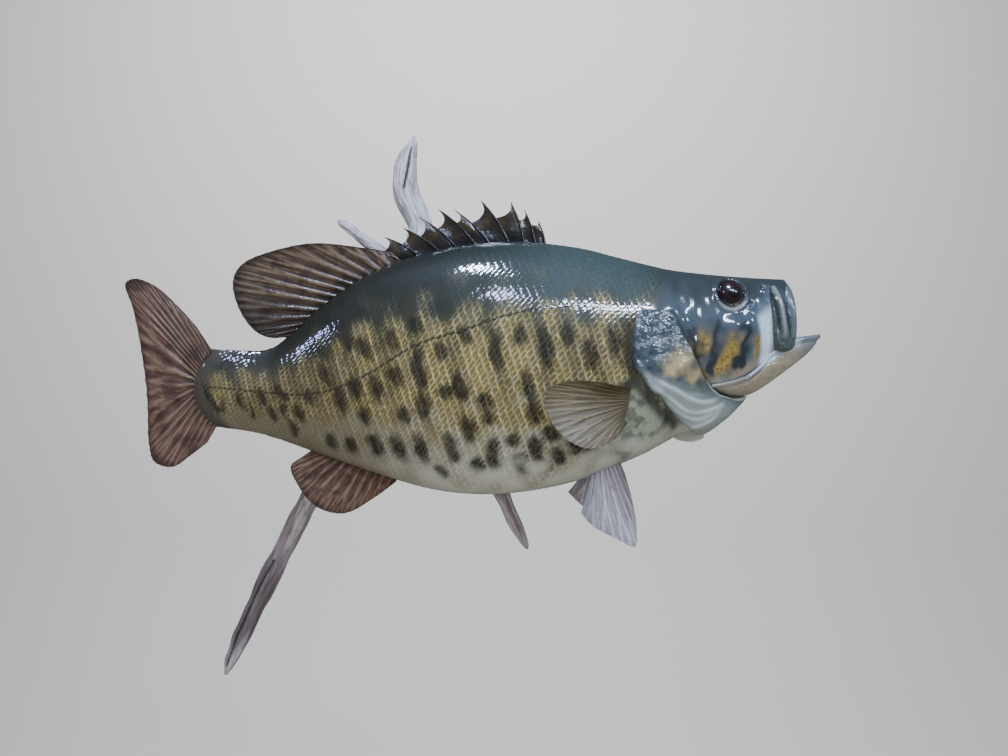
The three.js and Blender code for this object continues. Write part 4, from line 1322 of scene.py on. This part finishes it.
# On each side bone the ridge mark is a painted highlight along its ridge, and the groove mark painted shade
# in the groove beside it.
for bone in side_bones:
    away, _ = along_line(read(bone, "back"), read(bone, "up"), MAXILLA_RIDGE)
    upper = step(24, 36, read(bone, "up"))
    mark(bone, ridge=bell(away, 1.2) * upper, groove=bell(away - 3.2, 1.2) * upper)
mark(membrane, depth=5.0, up=-40.0, fold=0.5, low=1.0)
for pieces, finish, solids in ((covers, cover_paint, ("gill_cover_right", "gill_cover_left")),
                               (side_bones, lip_paint, ("maxilla_right", "maxilla_left")),
                               ([lip_bone], lip_paint, ("upper_jaw",))):
    for piece, solid in zip(pieces, solids):
        put_on(piece, finish)
        stand_in(piece, solid)
put_on(membrane, cover_paint)
stand_in(membrane)
print("face finishes:", jaw_paint.name, "|", cover_paint.name, "|", lip_paint.name)

# %% [markdown]
# The iris of a smallmouth is dark red round a black pupil, with a thin brassy ring at the pupil's edge.
# The rings are painted by distance from the eye's outward pole, and fine spokes break the red up.

# %% Glass eye
# Clear glass over paint: one hard, bright reflection over deep colour.
glass, tree, shader = finish_named("painted iris behind clear glass", {
    "Roughness": 0.25, "Specular IOR Level": 0.6, "Coat Weight": 1.0, "Coat Roughness": 0.02,
    "Coat IOR": 1.52})
spokes = add(tree, "ShaderNodeTexNoise", {"noise_dimensions": "1D"}, W=amount(tree, "turn"), Scale=38.0,
             Detail=4.0).outputs["Fac"]
paint = layered(
    tree, "#030303",
    ("#2c2018", ("iris", 0.40, 0.42)),
    ("#180910", ("iris", 0.425, 0.46)),
    ("#2b141d", (spokes, 0.5, 0.7), ("iris", 0.46, 0.6)),
    ("#0c0507", ("iris", 0.64, 0.86)))
tree.links.new(paint, shader.inputs["Base Color"])
for eye, solid in zip(eyes, ("eye_right", "eye_left")):
    put_on(eye, glass)
    stand_in(eye, solid)
print("eye finish:", glass.name)

# %% [markdown]
# Fin webs dry to something like parchment, and thin paint pools in streaks along their rays. Noise in
# space would run across the rays, so the streaks read two values stored with each fin: how far across it
# a point is, and how far along its rays.

# %% Fins
# Dried webs are parchment between bony rays: streaked along the rays, half matt, with a broken shine.
THIN_COAT = {**VARNISH, "Roughness": 0.42, "Coat Weight": 0.35, "Coat Roughness": 0.16}
STREAKS_ACROSS, STREAKS_ALONG = 75.0, 3.5  # streaks over the whole of a fin
JOINT_WAVES = 210.0  # in radians: 33 joints along a ray, fewer than a real one has, so that they show


def fin_finish(name, web, ray, dark, clouded, edge_dark, root_dark=0.65, shaded=(0, 1, 0)):
    """Web and rays in two colours, with streaks, dark clouds, and a darker root and edge. `clouded` is the
    range of the clouds, `shaded` a range across the fin and how much darker it gets there."""
    material, tree, shader = finish_named(name, THIN_COAT)
    drawn = add(tree, "ShaderNodeCombineXYZ", X=amount(tree, "across", STREAKS_ACROSS),
                Y=amount(tree, "along", STREAKS_ALONG))
    streak = add(tree, "ShaderNodeTexNoise", Vector=drawn.outputs[0], Scale=1.0, Detail=3.0,
                 Roughness=0.6).outputs["Fac"]
    joints = add(tree, "ShaderNodeMath", {"operation": "SINE"},
                 i0=amount(tree, "along", JOINT_WAVES)).outputs[0]
    paint = layered(
        tree, web,
        (ray, "ray", 0.85),
        (ray, (streak, 0.46, 0.34, 0.0, 0.6)),
        (dark, (streak, 0.50, 0.68, 0.0, 0.7)),
        (dark, (speckle(tree, 9, 3, 0.55), *clouded), 0.6),
        (dark, ("across", *shaded[:2], 0.0, shaded[2])),
        (dark, ("along", 0.30, 0.04), root_dark),
        (dark, ("along", 0.86, 1.0), edge_dark))
    tree.links.new(paint, shader.inputs["Base Color"])
    raise_by(tree, shader, amount(tree, (joints, -1, 1), "ray"), 0.12, 0.6)
    raise_by(tree, shader, speckle(tree, 1.8, 2), 0.5, 0.8, ("Coat Normal",))
    return material


dark_web = fin_finish("painted dorsal web on tan rays, varnished", "#3a2e24", "#675846", "#0e0b09",
                      (0.46, 0.70), 0.6, 0.75, (0.45, 0.8, 0.75))
brown_web = fin_finish("painted tail web, varnished", "#47352c", "#705b4b", "#1d1314",
                       (0.44, 0.70), 0.5, 0.3)
grey_web = fin_finish("painted pectoral web, varnished", "#4e4837", "#756b54", "#352e24",
                      (0.58, 0.8), 0.15, 0.05)
pale_web = fin_finish("painted pelvic web, varnished", "#858188", "#b2b2b8", "#4c474f",
                      (0.50, 0.76), 0.15, 0.4, (0.3, 0.0, 0.6))

# The front web is nearly black and fully varnished, so it shines between its spines.
spine_paint, tree, shader = finish_named("black spines and olive web under varnish",
                                         {**VARNISH, "Coat Roughness": 0.06})
paint = layered(
    tree, "#221c12",
    ("#43371f", (speckle(tree, 5, 3), 0.4, 0.7), 0.5),
    ("#050403", ("along", 0.9, 0.15)),
    ("#161412", "spine", 0.92))
tree.links.new(paint, shader.inputs["Base Color"])
raise_by(tree, shader, speckle(tree, 1.8, 3), 0.4, 0.7, PAINT_AND_VARNISH)

for name, finish, solid in (("soft_dorsal_fin", dark_web, "dorsal_fin_soft"),
                            ("anal_fin_web", brown_web, "anal_fin"),
                            ("tail_fin_web", brown_web, "tail_fin"),
                            ("pectoral_fin_web_right", grey_web, "pectoral_fin_right"),
                            ("pectoral_fin_web_left", grey_web, "pectoral_fin_left"),
                            ("pelvic_fin_web_right", pale_web, "pelvic_fin_right"),
                            ("pelvic_fin_web_left", pale_web, "pelvic_fin_left"),
                            ("spiny_dorsal_fin", spine_paint, "dorsal_fin_spiny")):
    put_on(fins[name], finish)
    stand_in(fins[name], solid)
print("finished fins:", len(fins))

# %% [markdown]
# Each scale is tinted like the skin below it, with a pale free edge where paint has worn off. Edges of one
# strength would look like wire netting, so the net is the product of many limits: it is broken by noise,
# differs from scale to scale, and is weaker on the bars, in the blotches, at the tail and on the breast.

# %% Paint of the scales
GROWTH_WAVES = 95.0  # in radians: rings 0.3 mm apart, coarser than on a real scale, so that they show
# Scales are thin horn. Under varnish each shines by itself, and growth rings break its highlight up.
scale_paint, tree, shader, paint, mottle = skin_finish(
    "airbrushed scales under gloss varnish", "#202c29", "#5d5434", "#898b7e")
edge_colour = layered(
    tree, "#a3a390",
    ("#7d7760", "rear", 0.85),
    ("#b5aa6c", ("height", 0.16, 0.40)),
    ("#a0987f", (speckle(tree, 8, 2), 0.44, 0.58), ("height", 0.16, 0.40, 0.0, 0.8)),
    ("#3b4639", ("height", 0.60, 0.80)),
    ("#2c3b3b", ("height", 0.76, 0.90)),
    ("#0e1514", "aft", ("height", 0.66, 0.86, 0.0, 0.75)))
net = amount(
    tree,
    ("margin", 0.0, 0.8),
    ("lower", -0.9, 0.4, 0.85, 1.0),
    (speckle(tree, 1.7, 3, 0.65), 0.36, 0.60, 0.25, 1.0),
    ("chance", 0, 1, 0.45, 1.0),
    ("tail_end", 0, 1, 1, 0),
    ("bars", 0.2, 1.0, 0.95, 0.5),
    ("blotch", 0, 1, 1, 0.2),
    ("breast", 0, 1, 1, 0.25))
paint = layered(
    tree, paint,
    ("#6b5f38", mottle, ("height", 0.7, 0.5, 0.0, 0.5)),
    ("#33301f", "bars", ("height", 0.22, 0.45, 0.0, 0.7), ("height", 0.92, 0.78)),
    ("#7f8a78", "breast", 0.75),
    ("#2e322c", "breast", (speckle(tree, 11, 2, 0.5), 0.47, 0.58), 0.65),
    ("#15130c", "blotch", (speckle(tree, 3.4, 3, 0.6), 0.34, 0.54, 0.75, 1.0)),
    (edge_colour, net),
    ("#16140d", "line_row", ("line_here", 0.4, 1.0, 0.0, 0.8)),
    ("#a2a495", ("height", 0.13, 0.03, 0.0, 0.85), ("rear", 0.05, 0.7, 1.0, 0.1)),
    ("#251f15", "rear", 0.42),
    ("#322f29", "tail_end", 0.9),
    # Painted shade: the gill slit, the pit behind the pectoral fin and the crease at the tail's root.
    ("#17140f", "slit", 0.85))
tree.links.new(paint, shader.inputs["Base Color"])
rings = add(tree, "ShaderNodeMath", {"operation": "SINE"}, i0=amount(tree, "growth", GROWTH_WAVES)).outputs[0]
raise_by(tree, shader, amount(tree, (rings, -1, 1)), 0.03, 0.5)
raise_by(tree, shader, speckle(tree, 3.2, 2), 0.16, 0.5, ("Coat Normal",))

# Pores are small dark tubes, wet like the rest.
pore_paint, tree, shader = finish_named("dark lateral line pore under varnish", VARNISH)
tree.links.new(layered(tree, "#23241c", ("#4a4630", speckle(tree, 3))), shader.inputs["Base Color"])
print("scale finishes:", scale_paint.name, "|", pore_paint.name)

# %% Scales and lateral line on both sides
AXIL = {"back": 113, "up": -5, "long": 5.5, "high": 3.2}  # the pit behind the pectoral fin, darkened on the scales as painted shade
# The crease at the root of the tail, darkened on the scales as painted shade.
TAIL_ROOT = [[383, -3], [379, -12], [373, -21]]
CHART_BACK, CHART_DOWN, CHART_LENGTH, CHART_HEIGHT, TILE_SPREAD = 40, -5, 360, 420, 0.0012


def chart_scales(coat, side):
    """A chart for baking: each scale has a small place of its own, and each side has half the chart."""
    corners = np.empty(len(coat.data.loops), int)
    coat.data.loops.foreach_get("vertex_index", corners)
    along = (read(coat, "root_back") - CHART_BACK) / CHART_LENGTH + TILE_SPREAD * read(coat, "scale_along")
    half = (read(coat, "root_down") - CHART_DOWN) / CHART_HEIGHT + (0.5 if side == LEFT else 0.0)
    chart = np.stack([along, half + TILE_SPREAD * read(coat, "scale_across")], 1)
    coat.data.uv_layers.new(name="OFBake").data.foreach_set("uv", chart[corners].ravel().astype(np.float32))


pitch, row_height = PITCH(scale_back), ROW(scale_back)
sizes = np.stack([pitch, row_height, np.full_like(pitch, 1.0)], 1) * MM
on_line = scale_row == 0
luck = np.random.default_rng(4).uniform(0, 1, len(scale_back))
for word, side in (("right", RIGHT), ("left", LEFT)):
    coat = lay(f"scales_{word}", scale_back, scale_down, side, sizes, template,
               {"chance": luck, "line_row": on_line.astype(float)}, Thickness=1.0, Sink=COAT * MM,
               Unevenness=0.05, Seed=11, Finish=scale_paint)
    settle(coat, side)
    tidy(coat, math.radians(35), turn_out=False)
    mark(coat, **markings(coordinates(coat)))
    back, _, up = fish_coordinates(coordinates(coat))
    # Painted shade in the pit behind the pectoral fin and in the crease at the tail's root, added to that of
    # the gill slit.
    axil_shade = bell(np.hypot((back - AXIL["back"]) / AXIL["long"], (up - AXIL["up"]) / AXIL["high"]), 1.0)
    tail_root_shade = bell(along_line(back, up, TAIL_ROOT)[0], 1.4)
    mark(coat, slit=np.clip(painted_shade_behind_cover(back, up) + 1.2 * axil_shade + 2.0 * tail_root_shade, 0, 1),
         line_here=1 - np.abs(read(coat, "scale_across")), lower=side * read(coat, "scale_across"))
    chart_scales(coat, side)
    line = lay(f"lateral_line_{word}", scale_back[on_line], scale_down[on_line], side,
               np.stack([pitch, pitch, pitch], 1)[on_line] * MM, pore, {}, Thickness=0.35, Sink=0.2 * MM,
               Unevenness=0.1, Seed=5, Finish=pore_paint)
    for piece in (coat, line):
        stand_in(piece)
        print(piece.name, sum(len(face.vertices) - 2 for face in piece.data.polygons), "triangles")
discard(template)
discard(pore)

# %% [markdown]
# The limb is driftwood: a fork of a small tree, stripped of bark, bleached grey where the sun reached it
# and worn along the grain, so that soft wood lies lower than hard. Prongs that only ran into each other
# would show a sharp line, so they are lofted, fused by a remesh into one skin, and then carved with
# furrows that follow each prong. Last, the back is planed for the wall and the fish is bedded in.

# %% Driftwood shape
MAIN_LIMB = [[-147, -10, -275, 1], [-142, -10, -262, 4.5], [-117, -11, -208, 6.6], [-86, -12, -147, 7.6],
             [-46, -13.5, -78, 9], [-12, -14, -18, 15.5], [0, -14, 14, 15.5], [-2, -14, 46, 10.5]]
TOP_BRANCH = [[-1, -14, 36, 10], [-4.5, -13.5, 52, 8.6], [-9, -13, 62, 8.8], [-14, -13, 73, 9.2],
              [-16, -13, 86, 9.4], [-13.5, -13, 101, 7.2], [-9.6, -13, 113, 2.8], [-8.7, -13, 118, 0.9]]
TOP_SPUR = [[-17, -13, 82, 7], [-18.6, -13, 94, 5], [-18.8, -13, 101.5, 0.9]]
SIDE_BRANCH = [[-4, -15, 8, 8], [-18, -14, 19, 6.8], [-38, -13, 37, 5], [-60, -13, 54, 3],
               [-64, -13, 57, 0.8]]
LOW_BRANCH = [[-6, -14, -24, 11], [14, -14, -58, 10.5], [33, -13, -92, 8.4], [56, -12, -145, 5.4],
              [70, -11, -176, 3.4], [74, -11, -183, 0.8]]
PLANED = -1.8


def limb(name, stops, rings=90, corners=30):
    """A slightly knobbly round limb through [x, y, z, radius] stops."""
    path, size = np.split(through(stops, np.linspace(0, 1, rings)), [3], axis=1)
    along = unit(np.gradient(path, axis=0))
    across = unit(np.cross(along, [0, -1, 0]))
    outwards = np.cross(across, along)
    t = np.linspace(0, 1, rings)[:, None]
    turn = np.linspace(0, 2 * math.pi, corners, endpoint=False)[None, :]
    r = size * (1 + 0.05 * np.sin(3 * turn + 5 * t) + 0.05 * np.sin(9 * t + 2 * turn))
    sideways = (r * np.cos(turn))[..., None] * across[:, None]
    towards_room = (r * np.sin(turn))[..., None] * outwards[:, None]
    return skin_over(name, (path[:, None] + sideways + towards_room) * MM)


LIMBS = {"main": MAIN_LIMB, "top": TOP_BRANCH, "spur": TOP_SPUR, "side": SIDE_BRANCH, "low": LOW_BRANCH}
wood = join("driftwood", [limb(name, stops) for name, stops in LIMBS.items()])
remesh(wood, 1.0)
bake(wood)
print("fused driftwood:", len(wood.data.polygons), "faces")


# %% Grain and furrows
AT_ONCE = 8000  # points handled together, to spare memory


def grain_of(points):
    """In millimetres: how far along the nearest limb a point is, and two numbers for where it is round it."""
    best = np.full(len(points), 1e9)
    grain = np.zeros((len(points), 3))
    for index, stops in enumerate(LIMBS.values()):
        heart, radius = np.split(through(stops, np.linspace(0, 1, 160)), [3], axis=1)
        run = np.concatenate([[0], np.cumsum(np.linalg.norm(np.diff(heart, axis=0), axis=1))])
        along = unit(np.gradient(heart, axis=0))
        for low in range(0, len(points), AT_ONCE):
            some = slice(low, low + AT_ONCE)
            away = points[some, None, :] / MM - heart[None]
            score = np.linalg.norm(away, axis=2) - radius[:, 0]
            nearest = np.argmin(score, 1)
            pick = np.arange(len(nearest))
            better = score[pick, nearest] < best[some]
            best[some] = np.where(better, score[pick, nearest], best[some])
            away = away[pick, nearest]
            past = np.sum(away * along[nearest], 1)
            round_it = unit(away - past[:, None] * along[nearest])
            lie = np.stack([run[nearest] + past + 97 * index, 6 * round_it[:, 0] + 3 * round_it[:, 2],
                            6 * round_it[:, 1]], 1)
            grain[some] = np.where(better[:, None], lie, grain[some])
    return grain


# Two long cracks, as [x, z] lines.
CRACKS = [[[-15, 78], [-12, 92], [-10, 108]], [[-146, -268], [-138, -246], [-124, -216], [-110, -190]]]
grain = grain_of(coordinates(wood))
stretched = grain * [0.08, 1, 1]
furrow = ripple(stretched, 2.1, 21) * 0.28 + ripple(stretched, 5.0, 22) * 0.4
furrow = furrow - 0.5 * np.maximum(0, ripple(stretched, 3.1, 23) - 0.75)
bumps = ripple(coordinates(wood) / MM, 26, 24) * 0.5
x, y, z = (coordinates(wood) / MM).T
crack = np.clip(sum(bell(along_line(x, z, line)[0], 0.9) for line in CRACKS) * (y < -12), 0, 1)
move(wood, coordinates(wood) + normals(wood) * ((furrow + bumps - 2.2 * crack) * MM)[:, None])
# Marks for painted shade: the cracks, and a band that gets darker towards the limb's low end.
mark(wood, crack=crack, upper=step(20, 50, z), foot=step(-160, -215, z) * step(-268, -240, z))
stored_grain = wood.data.attributes.new("grain", "FLOAT_VECTOR", "POINT")
stored_grain.data.foreach_set("vector", grain.astype(np.float32).ravel())
print("deepest furrow:", round(float(-furrow.min()), 2), "mm")


# %% The flat back, the keyhole's pocket and the bed for the fish
def block(name, low, high):
    """A box between two corners in millimetres."""
    (x0, y0, z0), (x1, y1, z1) = np.array(low) * MM, np.array(high) * MM
    square = lambda y: [[x0, y, z0], [x1, y, z0], [x1, y, z1], [x0, y, z1]]
    return skin_over(name, np.array([square(y0), square(y1)]), sharp=None)


cut(wood, block("planed side", (-300, PLANED, -400), (300, 40, 300)))
cut(wood, block("keyhole pocket", (-4.6, PLANED - 5, 2), (4.6, 10, 14)))
cut(wood, loft("bed for the fish", BODY, np.linspace(40, TAIL_END, 90), 40, grow=-0.1))
tidy(wood, math.radians(40))
print("driftwood:", len(wood.data.polygons), "faces")

# %% [markdown]
# Sun and water bleach driftwood from outside, and leave its furrows dark. Noise in space would run
# straight through the fork, so the fibres are drawn over the grain stored on the points, in millimetres,
# and turn with each prong. The hanger is rolled steel under a thin plating of zinc.

# %% Driftwood and steel
# Bare weathered wood is matt: grey on the ridges, darker in the furrows, with a few tea-coloured stains.
# Shade is painted on it too: near black inside the cracks, and darker towards the low end of the limb.
bleached, tree, shader = finish_named("weathered driftwood, bare",
                                      {"Roughness": 0.82, "Specular IOR Level": 0.3})
lie = add(tree, "ShaderNodeAttribute", {"attribute_name": "grain"}).outputs["Vector"]
# Fibres come out 12.5 mm long and about 1 mm wide, which is wider than real ones, so that they show.
drawn = add(tree, "ShaderNodeMapping", Vector=lie, Scale=(0.05, 0.7, 0.7)).outputs[0]
fibre = add(tree, "ShaderNodeTexNoise", Vector=drawn, Scale=1.6, Detail=6.0, Roughness=0.62).outputs["Fac"]
coarse = add(tree, "ShaderNodeTexNoise", Vector=drawn, Scale=0.5, Detail=3.0).outputs["Fac"]
paint = layered(
    tree, "#7c7478",
    ("#a8a6aa", (coarse, 0.42, 0.62)),
    ("#c3c5c9", "upper", 0.8),
    ("#5b5254", (fibre, 0.56, 0.36), 0.75),
    ("#6b6668", (speckle(tree, 1.1, 2), 0.62, 0.70), 0.6),
    ("#8d6f55", (speckle(tree, 30, 2), 0.56, 0.70), 0.35),
    # Painted shade: darker towards the low end of the limb, and near black in the cracks.
    ("#3d3330", "foot", 0.75),
    ("#1c1614", "crack"))
tree.links.new(paint, shader.inputs["Base Color"])
raise_by(tree, shader, fibre, 0.5, 0.8)
put_on(wood, bleached)
stand_in(wood, "driftwood_limb", "driftwood_top_branch", "driftwood_side_branch", "driftwood_low_branch")

# Zinc plate shows faint crystals about 2 mm wide and a soft, greyish reflection.
steel, tree, shader = finish_named("zinc-plated steel, rolled and stamped",
                                   {"Metallic": 1.0, "Roughness": 0.38})
here = add(tree, "ShaderNodeTexCoord").outputs["Object"]
spangle = add(tree, "ShaderNodeTexVoronoi", Vector=here, Scale=1 / (1.8 * MM)).outputs["Distance"]
tree.links.new(layered(tree, "#b3b6b9", ("#92969b", (spangle, 0.2, 0.8))), shader.inputs["Base Color"])
raise_by(tree, shader, speckle(tree, 0.4, 2), 0.03, 0.4)
for solid in ("hanger_plate", "hanger_screw_top", "hanger_screw_bottom"):
    put_on(frame["nodes"][solid], steel)
print("finishes in all:", len(bpy.data.materials))

# %% [markdown]
# The camera stands where an eye would, a little over half a metre from the wall and level with the fish's
# jaw. Its lens is worked out from the width of the rendered picture and the focal length, both in pixels.

# %% Camera
IMAGE_WIDTH, FOCAL_PIXELS, SENSOR = 1008, 757, 36
view_from = bpy.data.cameras.new("camera")
view_from.sensor_width, view_from.lens = SENSOR, SENSOR * FOCAL_PIXELS / IMAGE_WIDTH
view_from.clip_start, view_from.clip_end = 0.01, 50
camera = bpy.data.objects.new("camera", view_from)
bpy.context.scene.collection.objects.link(camera)
camera.location = (0.0566, -0.564, -0.0581)
camera.rotation_euler = (math.pi / 2, 0, 0)
bpy.context.scene.camera = camera
print("lens:", round(view_from.lens, 2), "mm")

# %% [markdown]
# Varnish shows its surroundings, so the lamps decide where the fish shines. Six small cool lamps stand high
# up, from left to right, and each makes one patch of highlights. A wide warm one in front and one below
# fill the shadows without being mirrored, another lights the paper, and a dim pale sky does the rest.

# %% Floor, backdrop and lights
# Uncoated paper scatters light evenly, so it is a plain ground with no shine of its own.
pale = finish_named("matt studio paper", {"Roughness": 0.9, "Base Color": colour("#eceae6")})[0]


def lamp(name, at, towards, size, power, tint="#ffffff", mirrored=True):
    """A soft rectangular lamp: place and size in metres, power in watts."""
    data = bpy.data.lights.new(name, "AREA")
    data.shape, data.size, data.size_y = "RECTANGLE", *size
    data.energy, data.color = power, colour(tint)[:3]
    light = bpy.data.objects.new(name, data)
    bpy.context.scene.collection.objects.link(light)
    away = np.array(at, float) - np.array(towards, float)
    light.location = at
    light.rotation_euler = (math.atan2(math.hypot(away[0], away[1]), away[2]), 0,
                            math.atan2(away[1], away[0]) + math.pi / 2)
    light.visible_glossy = mirrored


def sweep_of_paper():
    """Floor, a rounded corner and a wall in one sheet, in metres."""
    corner, radius, floor, wall = 2.2, 0.8, -1.4, 3.4
    bend = np.linspace(0, math.pi / 2, 16)
    y = np.concatenate([[-5], corner - radius + radius * np.sin(bend), [corner]])
    z = np.concatenate([[floor], floor + radius - radius * np.cos(bend), [wall]])
    points = [[side * 6, a, b] for side in (-1, 1) for a, b in zip(y, z)]
    n = len(y)
    paper = new_piece("studio_paper", points, [[i, i + 1, n + i + 1, n + i] for i in range(n - 1)])
    paper.data.materials.append(pale)
    paper.visible_glossy = False


sweep_of_paper()
FISH = (0.04, -0.06, -0.07)
for name, at, size, power, tint in (
        ("ceiling lamp", (-0.03, -0.72, 1.15), (0.14, 0.12), 22, "#d3e2ff"),
        ("middle lamp", (0.11, -1.0, 0.68), (0.10, 0.11), 2.8, "#b8c9ff"),
        ("front lamp", (0.40, -1.0, 0.58), (0.10, 0.06), 3.0, "#d3e2ff"),
        ("lamp on the right", (0.55, -0.96, 0.56), (0.14, 0.06), 4, "#d3e2ff"),
        ("lamp far on the right", (1.0, -0.92, 0.42), (0.13, 0.11), 5, "#d3e2ff"),
        ("lamp on the left", (-0.86, -0.80, 0.52), (0.08, 0.07), 1.8, "#a9bdff")):
    lamp(name, at, FISH, size, power, tint)
lamp("lamp on the paper", (0, 0.5, 1.9), (0, 2.2, 0.0), (2.5, 0.6), 60, mirrored=False)
lamp("soft fill with no reflection", (-0.1, -1.9, 0.25), FISH, (2.4, 2.0), 30, "#fff6ea", mirrored=False)
lamp("light back from the floor", (0.0, -0.9, -1.2), FISH, (1.8, 1.2), 4, "#fff1e0", mirrored=False)
world = bpy.data.worlds.new("pale room")
bpy.context.scene.world = world
world.use_nodes = True
sky = world.node_tree.nodes["Background"]
sky.inputs["Color"].default_value = colour("#dde3ea")
sky.inputs["Strength"].default_value = 0.16
print("lamps:", len(bpy.data.lights))
